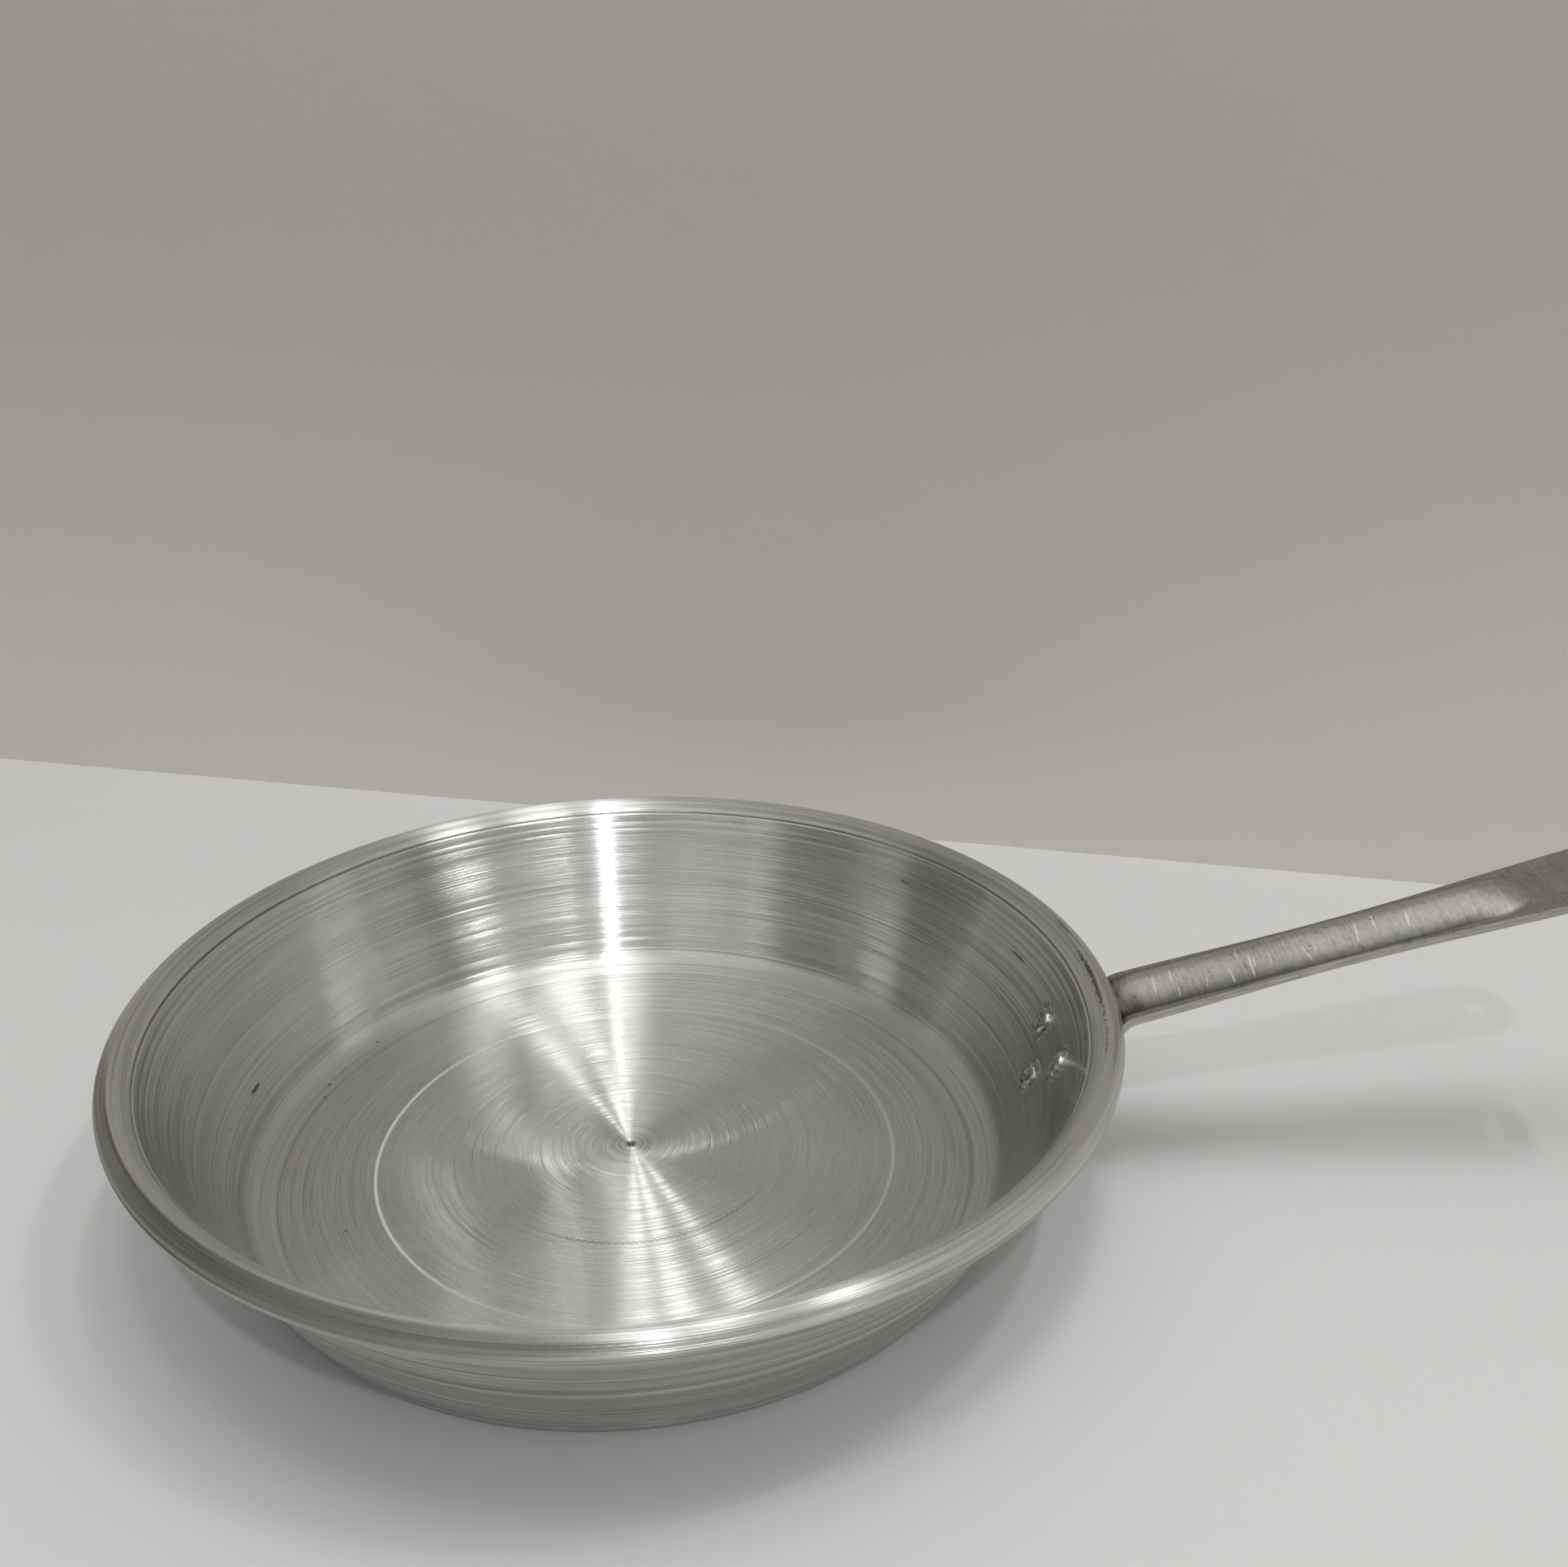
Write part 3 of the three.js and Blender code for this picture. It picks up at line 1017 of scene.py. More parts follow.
@dataclass(frozen=True)
class PlainPaint:
    """Matt paint of the studio, seen only from its front."""

    name: str
    colour: Colour
    upper: Colour
    top: Colour
    upper_from: Span = (0.0, 0.3)
    top_from: Span = (0.42, 0.6)

    def material(self) -> bpy.types.Material:
        """Builds the finish, clear to the camera from behind. It changes slowly with height.

        Returns:
            The material.
        """
        graph, material = Graph.of_material(self.name)
        height = graph.parts(graph.point())[2]
        paint = graph.mix(height.rise(*self.upper_from), self.colour, self.upper)
        paint = graph.mix(height.rise(*self.top_from), paint, self.top)
        matt = graph.node("ShaderNodeBsdfDiffuse", {}, {"Color": paint}).outputs[0]
        clear = graph.node("ShaderNodeBsdfTransparent", {}, {}).outputs[0]
        behind = Value(graph, graph.node("ShaderNodeNewGeometry", {}, {}).outputs["Backfacing"])
        seen = Value(graph, graph.node("ShaderNodeLightPath", {}, {}).outputs["Is Camera Ray"])
        mixed = graph.node("ShaderNodeMixShader", {}, {0: behind * seen, 1: matt, 2: clear})
        graph.node("ShaderNodeOutputMaterial", {}, {"Surface": mixed.outputs[0]})
        return material


@dataclass(frozen=True)
class TurnedLine:
    """A line cut round the pan with the lathe tool. Its place, width and depth are in mm."""

    along: float
    width: float
    depth: float
    cut: Cut = Cut.GROOVE


@dataclass
class PanBody:
    """The spun body: flat floor, flared wall and a roll at the rim that is open underneath."""

    rim_radius: float = 150 * MM
    height: float = 60 * MM
    base_radius: float = 115.5 * MM
    sheet: float = 3 * MM
    floor_fillet: float = 9 * MM
    base_corner: float = 4 * MM
    roll_radius: float = 4 * MM
    roll_hollow: float = 1.8 * MM
    rim_face: float = 6 * MM
    groove_depth: float = 0.5 * MM
    groove_width: float = 1 * MM
    lip_angle: float = math.radians(-70)
    hollow_angle: float = math.radians(205)
    mark_radius: float = 1.4 * MM
    mark_depth: float = 0.5 * MM
    mark_bulge: float = 0.65
    corner_steps: int = 8
    hollow_steps: int = 16
    roll_steps: int = 24
    face_steps: int = 10
    wall_steps: int = 24
    fillet_steps: int = 12
    floor_steps: int = 60
    sides: int = 288
    crease: float = math.radians(28)
    outer_lines: tuple[TurnedLine, ...] = (
        TurnedLine(3.2, 1.2, 0.15),
        TurnedLine(10, 0.9, 0.1, Cut.RIDGE),
        TurnedLine(13.2, 1.0, 0.12),
        TurnedLine(18.2, 0.9, 0.08),
        TurnedLine(22.4, 1.0, 0.08, Cut.RIDGE),
        TurnedLine(25, 1.2, 0.16),
        TurnedLine(34, 0.8, 0.08),
        TurnedLine(43, 1.0, 0.1),
    )
    inner_lines: tuple[TurnedLine, ...] = (
        TurnedLine(2.6, 0.8, 0.08),
        TurnedLine(5, 1.0, 0.08),
        TurnedLine(27, 0.9, 0.06),
        TurnedLine(37, 0.8, 0.05),
        TurnedLine(47, 0.9, 0.08),
        TurnedLine(51, 0.9, 0.08),
    )
    floor_lines: tuple[TurnedLine, ...] = (
        TurnedLine(3.5, 0.9, 0.08),
        TurnedLine(12, 0.8, 0.05),
        TurnedLine(16.5, 0.8, 0.05),
    )

    @property
    def roll(self) -> Vector:
        """Centre of the roll, as radius and height."""
        return Vector((self.rim_radius - self.roll_radius, self.height - self.roll_radius))

    @property
    def wall_angle(self) -> float:
        """The wall's slope above the level."""
        run = self.roll.x - self.rim_face - self.base_radius
        return math.acos(self.sheet / math.hypot(self.roll.y, run)) - math.atan2(run, self.roll.y)

    def outer_wall(self, height: float) -> Vector:
        """Gives the point of the wall's outside at a height."""
        return Vector((self.base_radius + height / math.tan(self.wall_angle), height))

    def inner_wall(self, height: float) -> Vector:
        """Gives the point of the wall's inside at a height."""
        return self.outer_wall(height) - Vector((self.sheet / math.sin(self.wall_angle), 0.0))

    @staticmethod
    def arc(centre: Vector, radius: float, start: float, stop: float, steps: int) -> list[Vector]:
        """Gives points of an arc of the section.

        Args:
            centre: Its centre.
            radius: Its radius.
            start: Its first angle.
            stop: Its last angle.
            steps: Number of steps.

        Returns:
            The points, both ends among them.
        """
        angles = evenly(start, stop, steps)
        return [centre + radius * Vector((math.cos(angle), math.sin(angle))) for angle in angles]

    @staticmethod
    def turned(start: Vector, stop: Vector, lines: Sequence[TurnedLine], steps: int) -> list[Vector]:
        """Gives a straight stretch of the section with turned lines in it.

        Args:
            start: Its first point.
            stop: Its last point. The metal is on the left of the way there.
            lines: The lines, by distance from the first point.
            steps: Number of plain points between the lines.

        Returns:
            The points between the two ends.
        """
        way = (stop - start).normalized()
        out = Vector((way.y, -way.x))
        length = (stop - start).length
        shape = ((-0.5, 0.0), (-0.25, 0.7), (0.0, 1.0), (0.25, 0.7), (0.5, 0.0))
        marks = [(along, 0.0) for along in evenly(0.0, length, steps)[1:-1]]
        for line in lines:
            middle, width = line.along * MM, line.width * MM
            depth = line.cut.value * line.depth * MM
            marks = [mark for mark in marks if not middle - width < mark[0] < middle + width]
            marks += [(middle + width * a, depth * d) for a, d in shape]
        return [start + way * along + out * rise for along, rise in sorted(marks)]

    def section(self) -> list[Vector]:
        """Draws half the section: from the axis along the underside, up the outside and back down the inside.

        Returns:
            Its points as radius and height.
        """
        slope = self.wall_angle
        down = -math.pi / 2
        heel = self.base_corner
        foot = Vector((self.outer_wall(heel).x - heel / math.sin(slope), heel))
        rest = self.sheet + self.floor_fillet
        bowl = Vector((self.inner_wall(rest).x - self.floor_fillet / math.sin(slope), rest))
        corner = self.arc(foot, heel, down, slope + down, self.corner_steps)
        hollow = self.arc(self.roll, self.roll_hollow, self.hollow_angle, self.lip_angle, self.hollow_steps)
        roll = self.arc(self.roll, self.roll_radius, self.lip_angle, -down, self.roll_steps)
        fillet = self.arc(bowl, self.floor_fillet, slope + down, down, self.fillet_steps)
        under_roll = self.outer_wall(self.roll.y - self.roll_radius * math.sqrt(0.5))
        groove = self.roll.x - self.rim_face
        half = self.groove_width / 2
        face = []
        for radius in evenly(self.roll.x, groove + half, self.face_steps)[1:]:
            fall = self.roll_radius * ((self.roll.x - radius) / self.rim_face) ** 2
            face.append(Vector((radius, self.height - fall)))
        bottom = Vector((groove + self.groove_depth, self.roll.y))
        wall_top = self.inner_wall(self.roll.y - half)
        mark = Vector((self.mark_radius, self.sheet))
        return [
            Vector((0.0, 0.0)),
            *self.turned(Vector((0.0, 0.0)), corner[0], (), self.wall_steps),
            *corner,
            *self.turned(corner[-1], under_roll, self.outer_lines, self.wall_steps),
            under_roll,
            *hollow,
            *roll,
            *face,
            bottom,
            wall_top,
            *self.turned(wall_top, fillet[0], self.inner_lines, self.wall_steps),
            *fillet,
            *self.turned(fillet[-1], mark, self.floor_lines, self.floor_steps),
            mark,
            Vector((self.mark_radius / 2, self.sheet - self.mark_depth * self.mark_bulge)),
            Vector((0.0, self.sheet - self.mark_depth)),
        ]

    def build(self, drills: Workpiece) -> Workpiece:
        """Turns the section into the body and drills the rivet holes.

        Args:
            drills: The cutter for the holes.

        Returns:
            The body.
        """
        points = [Vector((point.x, 0.0, point.y)) for point in self.section()]
        body = Workpiece.traced("spun_body", points)
        body.turn(self.sides)
        body.drill(drills)
        return body

    def dress(self, body: Workpiece, finish: SpunAluminium, seats: Sequence[Vector]) -> None:
        """Gives the body its finish and its place in the frame.

        Args:
            body: The body.
            finish: Its finish.
            seats: Where the rivet heads sit on the wall.
        """
        body.hand_over("pan_body", "spun_aluminium", finish.material(seats), self.crease)


@dataclass
class Handle:
    """The pressed plate: a tab on the wall, a bend under the roll, an arched grip and a flat round end."""

    pan: PanBody
    plate: float = 2.5 * MM
    bend_margin: float = 1.5 * MM
    tab_edge: float = 6.8 * MM
    tab_end: float = 10 * MM
    tab_end_width: float = 22 * MM
    root_bend: float = 8 * MM
    neck_rise: float = math.radians(36)
    shoulder_rise: float = math.radians(56)
    shoulder_bend: float = 6.8 * MM
    grip_rise: float = math.radians(16.9)
    grip_length: float = 172.9 * MM
    root_width: float = 27 * MM
    waist_width: float = 23.2 * MM
    end_width: float = 31 * MM
    waist_at: float = 61 * MM
    crown: float = 3.5 * MM
    crown_share: float = 0.94
    crown_fade_in: float = 7 * MM
    crown_fade_out: float = 12 * MM
    crown_length: float = 110 * MM
    hang_hole: float = 8 * MM
    hang_hole_inset: float = 13 * MM
    hole_chamfer: float = 0.35 * MM
    hole_sides: int = 64
    drill_margin: float = 3 * MM
    roll_clearance: float = 0.4 * MM
    rivet_spread: float = 25.5 * MM
    rivet_pitch: float = 14 * MM
    rivet_tail: float = 8 * MM
    across: int = 32
    edge_round: float = 0.4 * MM
    edge_steps: int = 3
    edge_angle: float = math.radians(60)
    blank: float = 2.0
    crease: float = math.radians(35)

    def __post_init__(self) -> None:
        """Works out the plate's middle line from the pan's wall and roll."""
        slope = self.pan.wall_angle
        roll = self.pan.roll
        square = Vector((-math.sin(self.neck_rise), math.cos(self.neck_rise)))
        neck_way = Vector((math.cos(self.neck_rise), math.sin(self.neck_rise)))
        roll_span = self.pan.roll_radius + self.roll_clearance
        neck_height = square.dot(roll) - roll_span
        self.tab_way = Vector((math.cos(slope), math.sin(slope)))
        tab_foot = Vector((self.pan.base_radius + SEAT_GAP / math.sin(slope), 0.0))
        tab_corner = (neck_height - square.dot(tab_foot)) / math.sin(slope - self.neck_rise)
        bend_reach = self.root_bend * math.tan((slope - self.neck_rise) / 2)
        self.tab_top = tab_foot + self.tab_way * (tab_corner - bend_reach)
        corner = tab_foot + self.tab_way * tab_corner
        under_roll = (roll - corner).dot(neck_way) - bend_reach
        root_turn = slope - self.neck_rise
        roll_turn = self.shoulder_rise - self.neck_rise
        shoulder_turn = self.shoulder_rise - self.grip_rise
        self.stretches = (
            (self.root_bend * root_turn, root_turn),
            (under_roll, 0.0),
            (roll_span * roll_turn, -roll_turn),
            (self.shoulder_bend * shoulder_turn, shoulder_turn),
            (self.grip_length, 0.0),
        )
        lengths = [length for length, _ in self.stretches]
        self.bend_end = lengths[0]
        self.roll_start = sum(lengths[:2])
        self.neck_end = sum(lengths[:3])
        self.grip_start = sum(lengths[:4])
        self.tip = sum(lengths)
        self.upper_row = -(self.rivet_tail / 2 + self.bend_margin)
        self.lower_row = self.upper_row - self.rivet_pitch
        self.end_centre = self.tip - self.end_width / 2
        self.crown_start = (self.neck_end + self.grip_start) / 2 + self.crown_fade_in
        self.crown_end = self.grip_start + self.crown_length

    def middle(self, distance: float) -> tuple[Vector, float]:
        """Follows the middle line of the plate's upper face.

        Args:
            distance: Length along it from where the tab leaves the wall.

        Returns:
            The point, as reach and height, and the heading there.
        """
        point, heading = self.tab_top.copy(), self.pan.wall_angle
        if distance <= 0:
            return point + self.tab_way * distance, heading
        for length, turn in self.stretches:
            taken = min(distance, length)
            bend = turn / length
            now = heading - bend * taken
            if turn:
                point += Vector((math.sin(heading) - math.sin(now), math.cos(now) - math.cos(heading))) / bend
            else:
                point += Vector((math.cos(heading), math.sin(heading))) * taken
            heading = now
            distance -= taken
        return point, heading

    def half_width(self, distance: float) -> float:
        """Gives half the plate's width before its ends are rounded."""
        widths = (
            (self.lower_row, self.tab_end_width / 2),
            (self.upper_row, self.rivet_spread / 2 + self.tab_edge),
            (self.neck_end, self.root_width / 2),
            (self.grip_start + self.waist_at, self.waist_width / 2),
            (self.end_centre, self.end_width / 2),
        )
        if distance <= widths[0][0]:
            return widths[0][1]
        for (start, first), (stop, last) in zip(widths, widths[1:]):
            if distance <= stop:
                return first + (last - first) * smoothstep(distance, start, stop)
        return widths[-1][1]

    def lift(self, distance: float, side: float) -> float:
        """Gives how far the arch of the grip stands above the plate's edges."""
        before = max(0.0, (self.crown_start - distance) / self.crown_fade_in)
        after = max(0.0, (distance - self.crown_end) / self.crown_fade_out)
        over = side / (self.crown_share * self.waist_width / 2)
        reach = min(1.0, math.hypot(before, after, over))
        return self.crown * (1 - reach * reach)

    def top(self, distance: float, side: float) -> Vector:
        """Gives a point of the upper face.

        Args:
            distance: Length along the middle line.
            side: Distance to its left.

        Returns:
            The point.
        """
        point, heading = self.middle(distance)
        lift = self.lift(distance, side)
        reach = point.x - lift * math.sin(heading)
        hug = 1 - smoothstep(distance, 0.0, self.neck_end)
        bow = math.sqrt(reach * reach - side * side)
        return Vector((reach + hug * (bow - reach), side, point.y + lift * math.cos(heading)))

    def normal(self, distance: float, side: float) -> Vector:
        """Gives the upper face's normal."""
        ahead = self.top(distance + NUDGE, side) - self.top(distance - NUDGE, side)
        left = self.top(distance, side + NUDGE) - self.top(distance, side - NUDGE)
        return ahead.cross(left).normalized()

    def seat(self, distance: float, side: float) -> Matrix:
        """Gives a place on the upper face, with Z square to it."""
        turn = self.normal(distance, side).to_track_quat("Z", "Y").to_matrix().to_4x4()
        return Matrix.Translation(self.top(distance, side)) @ turn

    def stations(self) -> list[float]:
        """Gives where the plate's cross rows stand, closest at the bends."""
        marks = (
            (self.lower_row - self.tab_end, 12),
            (self.lower_row, 12),
            (self.upper_row, 6),
            (0.0, 8),
            (self.bend_end, 5),
            (self.roll_start, 5),
            (self.neck_end, 8),
            (self.grip_start, 8),
            (self.crown_start, 62),
            (self.crown_end, 20),
            (self.crown_end + self.crown_fade_out, 18),
            (self.end_centre, 16),
            (self.tip, 0),
        )
        rows = [marks[0][0]]
        for (start, steps), (stop, _) in zip(marks, marks[1:]):
            rows += evenly(start, stop, steps)[1:]
        return rows

    def spread(self, distance: float, share: float) -> Vector:
        """Rounds the two ends of the flat blank.

        Args:
            distance: Length along the blank.
            share: Place across it, from -1 to 1.

        Returns:
            Length along the plate and distance to the side.
        """
        half = self.half_width(distance)
        if distance > self.end_centre:
            centre, reach = self.end_centre, self.tip - self.end_centre
        elif distance < self.lower_row:
            centre, reach = self.lower_row, -self.tab_end
        else:
            return Vector((distance, share * half))
        along = (distance - centre) / reach
        inward = math.sqrt(1 - share * share / 2)
        return Vector((centre + reach * along * inward, half * share * math.sqrt(1 - along * along / 2)))

    def build(self, drills: Workpiece) -> Workpiece:
        """Presses the plate from a flat blank, gives it thickness, rounds its edges and drills it.

        Args:
            drills: The cutter for the rivet holes.

        Returns:
            The handle.
        """
        rows = self.stations()
        last = len(rows) - 1
        clear_selection()
        bpy.ops.mesh.primitive_grid_add(
            x_subdivisions=last, y_subdivisions=self.across, size=self.blank, location=(0, 0, 0)
        )
        plate = Workpiece("pressed_handle")

        def press(flat: Vector) -> Vector:
            """Gives where a point of the flat blank ends up."""
            row = round((flat.x / self.blank + 0.5) * last)
            along, side = self.spread(rows[row], flat.y * 2 / self.blank)
            return self.top(along, side)

        plate.reshape(press)
        plate.apply("SOLIDIFY", thickness=self.plate, offset=-1.0, use_even_offset=True)
        bevel = {"width": self.edge_round, "segments": self.edge_steps, "angle_limit": self.edge_angle}
        plate.apply("BEVEL", limit_method="ANGLE", **bevel)
        plate.drill(drills)
        plate.drill(self.hang_drill())
        return plate

    def hang_drill(self) -> Workpiece:
        """Makes the cutter of the hanging hole, wider at both faces of the plate so that its edges are eased.

        Returns:
            The cutter in its place.
        """
        radius, ease, over = self.hang_hole / 2, self.hole_chamfer, self.drill_margin
        section = (
            (0.0, over),
            (radius + ease + over, over),
            (radius, -ease),
            (radius, ease - self.plate),
            (radius + ease + over, -self.plate - over),
            (0.0, -self.plate - over),
        )
        cutter = Workpiece.traced("hang_drill", [Vector((r, 0.0, z)) for r, z in section])
        cutter.turn(self.hole_sides)
        cutter.place(self.seat(self.tip - self.hang_hole_inset, 0.0))
        return cutter

    def dress(self, plate: Workpiece, finish: SatinSteel) -> None:
        """Gives the handle its finish and its place in the frame."""
        plate.hand_over("handle", "satin_steel", finish.material(), self.crease)


@dataclass
class Rivets:
    """Three rivets through the wall and the tab, each with a flat head inside and a domed tail outside.

    The steps of the head and the tail are radius and rise in mm.
    """

    handle: Handle
    shank: float = 5 * MM
    sides: int = 48
    drill_length: float = 24 * MM
    head: tuple[Span, ...] = (
        (4.0, 0.0), (4.05, 0.35), (3.98, 0.7), (3.75, 0.98), (3.35, 1.15),
        (2.8, 1.2), (2.1, 1.16), (1.4, 1.1), (0.5, 1.07),
    )
    tail: tuple[Span, ...] = (
        (4.0, 0.0), (3.95, 0.6), (3.7, 1.15), (3.2, 1.6), (2.5, 1.85), (1.5, 1.97), (0.5, 2.0),
    )
    head_gap: float = 0.08 * MM
    dent: float = 0.12 * MM
    dent_from: Span = (0.3 * MM, 0.9 * MM)
    dent_waves: Span = (780.0, 1130.0)
    dent_shifts: Span = (0.7, -0.4)
    dent_lean: float = 0.03
    square_on: float = 0.9
    turns: tuple[float, ...] = (0.4, 2.3, 4.4)
    crease: float = math.radians(50)

    def seats(self) -> dict[str, Matrix]:
        """Gives each rivet's place by the name of its node."""
        half = self.handle.rivet_spread / 2
        return {
            "rivet_upper_left": self.handle.seat(self.handle.upper_row, half),
            "rivet_upper_right": self.handle.seat(self.handle.upper_row, -half),
            "rivet_lower": self.handle.seat(self.handle.lower_row, 0.0),
        }

    def head_seats(self) -> list[Vector]:
        """Gives the middle of each head's seat on the inside of the wall."""
        lift = Vector((0.0, 0.0, self.handle.pan.sheet + SEAT_GAP))
        return [seat @ lift for seat in self.seats().values()]

    def drills(self, name: str) -> Workpiece:
        """Makes one cutter for all the rivet holes.

        Args:
            name: The cutter's name.

        Returns:
            The cutter.
        """
        bits = []
        for seat in self.seats().values():
            clear_selection()
            bpy.ops.mesh.primitive_cylinder_add(
                vertices=self.sides, radius=self.shank / 2 + SEAT_GAP, depth=self.drill_length
            )
            bit = Workpiece(name)
            bit.place(seat)
            bits.append(bit)
        clear_selection()
        for bit in bits:
            bit.obj.select_set(True)
        bpy.context.view_layer.objects.active = bits[0].obj
        bpy.ops.object.join()
        return bits[0]

    def upset(self, rivet: Workpiece, end: float, steps: Sequence[Span]) -> None:
        """Forms one end of the rivet by extruding the shank's end face in steps.

        Args:
            rivet: The rivet.
            end: Height of the face.
            steps: Radius and rise of each step in millimetres.
        """
        up = 1.0 if end > 0 else -1.0
        rivet.pick_faces(lambda face: face.normal.z * up > self.square_on)
        radius, rise = self.shank / 2, 0.0
        for next_radius, next_rise in steps:
            move = Vector((0.0, 0.0, up * (next_rise * MM - rise)))
            bpy.ops.mesh.extrude_region_move(TRANSFORM_OT_translate={"value": move})
            share = next_radius * MM / radius
            centre = (0.0, 0.0, end + up * next_rise * MM)
            bpy.ops.transform.resize(value=(share, share, 1.0), center_override=centre)
            radius, rise = next_radius * MM, next_rise * MM

    def hammered(self, point: Vector, seat: float) -> Vector:
        """Dents the head a little, as a hammer does.

        Args:
            point: A point of the rivet.
            seat: Height of the head's underside.

        Returns:
            The point's new place.
        """
        above = smoothstep(point.z - seat, *self.dent_from)
        wave = 1.0
        for place, dents, shift in zip(point.xy, self.dent_waves, self.dent_shifts):
            wave *= math.sin(place * dents + shift)
        lean = (point.x - point.y) * self.dent_lean
        return point + Vector((0.0, 0.0, above * (self.dent * wave - self.dent + lean)))

    def build(self) -> list[tuple[str, Workpiece]]:
        """Forms one rivet and sets a copy in each place.

        Returns:
            The rivets with the names of their nodes.
        """
        head_seat = self.handle.pan.sheet + SEAT_GAP + self.head_gap
        tail_seat = -self.handle.plate - self.head_gap
        clear_selection()
        middle = (0.0, 0.0, (head_seat + tail_seat) / 2)
        bpy.ops.mesh.primitive_cylinder_add(
            vertices=self.sides, radius=self.shank / 2, depth=head_seat - tail_seat, location=middle
        )
        pattern = Workpiece("rivet")
        pattern.place(pattern.obj.matrix_world.copy())
        self.upset(pattern, head_seat, self.head)
        self.upset(pattern, tail_seat, self.tail)
        pattern.close()
        pattern.reshape(lambda point: self.hammered(point, head_seat))
        made = []
        for (node, seat), turn in zip(self.seats().items(), self.turns):
            rivet = pattern.copy(f"hammered_{node}")
            rivet.place(seat @ Matrix.Rotation(turn, 4, "Z"))
            made.append((node, rivet))
        pattern.discard()
        return made

    def dress(self, rivets: Sequence[tuple[str, Workpiece]], finish: RivetAluminium) -> None:
        """Gives the rivets their finish and their places in the frame."""
        material = finish.material()
        for node, rivet in rivets:
            rivet.hand_over(node, "rivet_aluminium", material, self.crease)


@dataclass(frozen=True)
class GlowPanel:
    """A lighter or darker stretch of the room's walls. Its heading, half width and fade are in degrees."""

    heading: float
    half: float
    fade: float
    glow: float


@dataclass(frozen=True)
class LampPlan:
    """One lamp that looks at the pan, with its two sizes and its power in watts."""

    name: str
    shape: Lamp
    place: Vector
    size: Span
    power: float


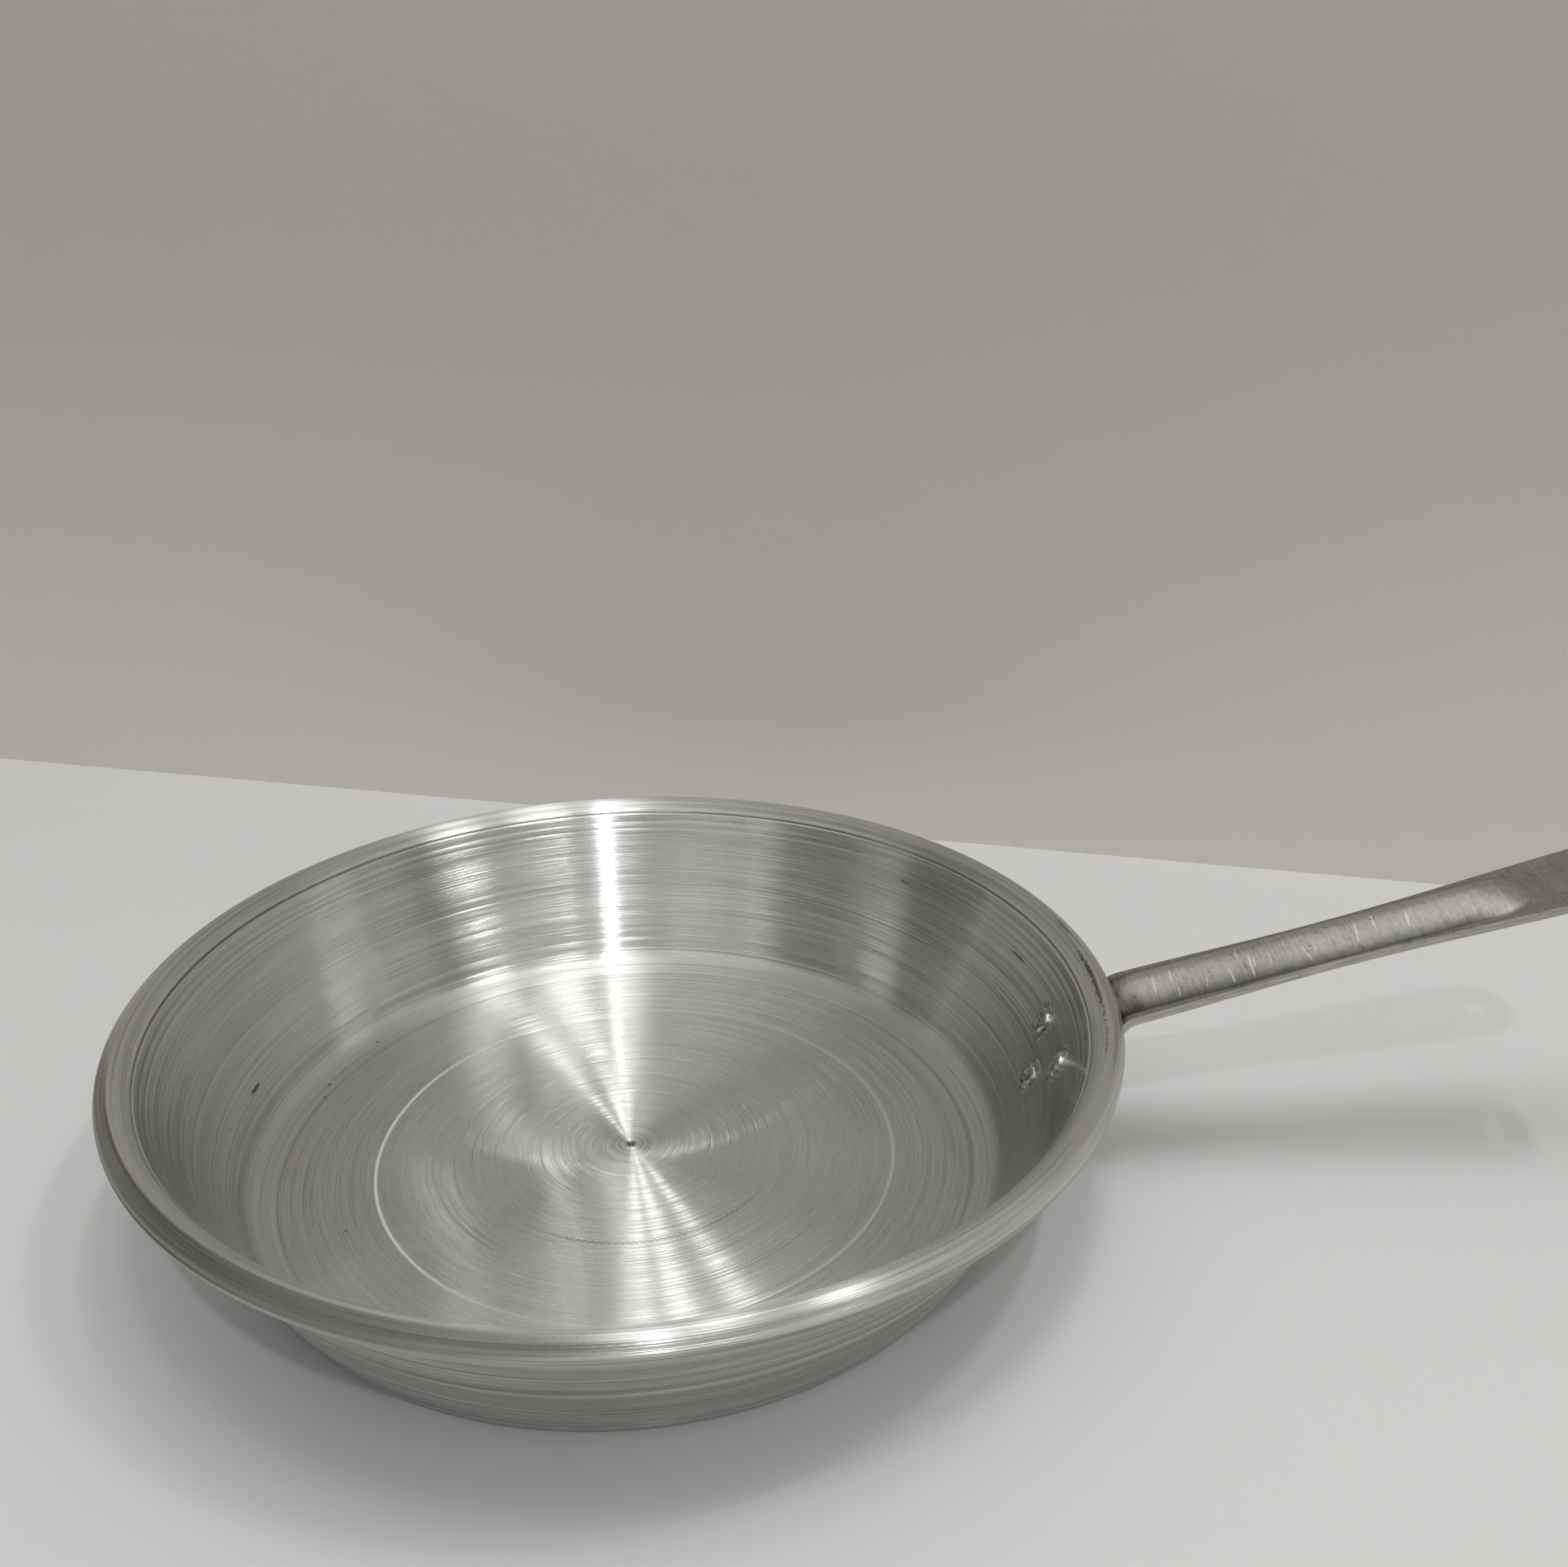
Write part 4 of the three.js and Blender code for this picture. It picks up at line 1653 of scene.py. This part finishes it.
@dataclass
class Studio:
    """Pale table, pale wall behind it, soft lamps and the camera."""

    table: PlainPaint = PlainPaint("pale_table", TABLE_GREY, TABLE_GREY, TABLE_GREY)
    # The wall is darker from its foot up to 0.3 m; its top, above 0.42 m and out of the camera's view, is
    # painted almost white as a painted bright area that the metal reflects as light from above the wall.
    wall: PlainPaint = PlainPaint("pale_wall", (0.84, 0.82, 0.795), (0.65, 0.635, 0.61), (0.97, 0.95, 0.92))
    table_size: float = 6.0
    table_drop: float = 0.2 * MM
    wall_foot: Vector = Vector((0.054, 0.248, 0.0))
    wall_turn: float = math.radians(-12.9)
    ambient: float = 0.085
    ceiling: float = 0.85
    ceiling_from: Span = (0.55, 1.0)
    sky_tint: Colour = (1.0, 0.975, 0.945)
    lamps: tuple[LampPlan, ...] = (
        LampPlan("spot", Lamp.ROUND, Vector((0.333, -1.95, 2.51)), (0.085, 0.085), 7.5),
        LampPlan("glow", Lamp.ROUND, Vector((0.03, -0.42, 1.75)), (0.24, 0.24), 1.6),
        LampPlan("tube_near", Lamp.PANEL, Vector((0.27, 0.0, 1.8)), (0.75, 0.05), 3.4),
        LampPlan("tube_far", Lamp.PANEL, Vector((0.71, -0.14, 1.65)), (0.33, 0.05), 1.8),
        LampPlan("bulb_far", Lamp.ROUND, Vector((0.71, -0.14, 1.64)), (0.05, 0.05), 0.65),
    )
    panels_above: Span = (0.12, 0.42)
    panels_below: Span = (0.9, 0.5)
    panels: tuple[GlowPanel, ...] = (
        GlowPanel(-81, 46, 6, 0.2),
        GlowPanel(-75, 15, 40, 0.1),
        GlowPanel(-7.6, 9, 10, 0.32),
        GlowPanel(197, 4, 6, 0.12),
        GlowPanel(163, 58, 8, -0.03),
    )
    focal: float = 35.319
    sensor: float = 36.0
    tilt: float = 0.40118
    roll: float = -0.00397
    eye: Vector = Vector((0.04922, -0.40670, 0.30011))
    heading: float = math.radians(-0.5)

    def build(self) -> None:
        """Sets up the table, the wall, the lamps, the world and the camera."""
        self.sheet("table", self.table, Matrix.Translation((0.0, 0.0, -self.table_drop)))
        upright = Matrix.Rotation(self.wall_turn, 4, "Z") @ Matrix.Rotation(math.pi / 2, 4, "X")
        self.sheet("backdrop", self.wall, Matrix.Translation(self.wall_foot) @ upright)
        for plan in self.lamps:
            self.lamp(plan)
        self.world()
        self.camera()

    def sheet(self, name: str, paint: PlainPaint, matrix: Matrix) -> None:
        """Lays one flat sheet of the studio.

        Args:
            name: Its name.
            paint: Its paint.
            matrix: Its place.
        """
        clear_selection()
        bpy.ops.mesh.primitive_plane_add(size=self.table_size)
        flat = Workpiece(name)
        flat.place(matrix)
        flat.obj.data.materials.append(paint.material())

    def lamp(self, plan: LampPlan) -> None:
        """Hangs one lamp."""
        clear_selection()
        bpy.ops.object.light_add(type="AREA", location=plan.place)
        lamp = bpy.context.active_object
        lamp.name = plan.name
        lamp.rotation_mode = "QUATERNION"
        lamp.rotation_quaternion = plan.place.to_track_quat("Z", "Y")
        lamp.data.shape = plan.shape.value
        lamp.data.size = plan.size[0]
        if plan.shape is Lamp.PANEL:
            lamp.data.size_y = plan.size[1]
        lamp.data.energy = plan.power

    def world(self) -> None:
        """Fills the room with soft grey light: brightest overhead and in front, dim at the sides."""
        world = bpy.data.worlds.new("room")
        world.use_nodes = True
        graph = Graph(world.node_tree)
        x, y, z = graph.parts(graph.point("Generated"))
        level = (x * x + y * y).math("SQRT").math("MAXIMUM", TINY)
        light = self.ambient + z.rise(*self.ceiling_from) * self.ceiling
        low = z.rise(*self.panels_above) * z.rise(*self.panels_below)
        for panel in self.panels:
            towards = facing(x / level, y / level, math.radians(panel.heading))
            inner = math.cos(math.radians(panel.half))
            outer = math.cos(math.radians(panel.half + panel.fade))
            light = light + towards.rise(outer, inner) * low * panel.glow
        sky = graph.node("ShaderNodeBackground", {}, {"Color": (*self.sky_tint, 1.0), "Strength": light})
        graph.node("ShaderNodeOutputWorld", {}, {"Surface": sky.outputs[0]})
        bpy.context.scene.world = world

    def camera(self) -> None:
        """Stands the camera where the photograph was taken from."""
        clear_selection()
        bpy.ops.object.camera_add()
        camera = bpy.context.active_object
        camera.name = "camera"
        camera.data.sensor_width = self.sensor
        camera.data.lens = self.focal
        camera.data.dof.use_dof = False
        turn = Matrix.Rotation(self.heading, 4, "Z")
        look = Matrix.Rotation(math.pi / 2 - self.tilt, 4, "X") @ Matrix.Rotation(self.roll, 4, "Z")
        camera.matrix_world = turn @ Matrix.Translation(self.eye) @ look
        bpy.context.scene.camera = camera


def main() -> None:
    """Builds the studio, then the pan, its handle and its rivets."""
    logging.basicConfig(level=logging.INFO, format="%(name)s: %(message)s")
    bpy.context.scene.view_settings.view_transform = "Standard"
    Studio().build()
    pan = PanBody()
    handle = Handle(pan)
    rivets = Rivets(handle)
    pan.dress(pan.build(rivets.drills("wall_drill")), SpunAluminium(), rivets.head_seats())
    handle.dress(handle.build(rivets.drills("tab_drill")), SatinSteel())
    rivets.dress(rivets.build(), RivetAluminium())


if __name__ == "__main__":
    main()
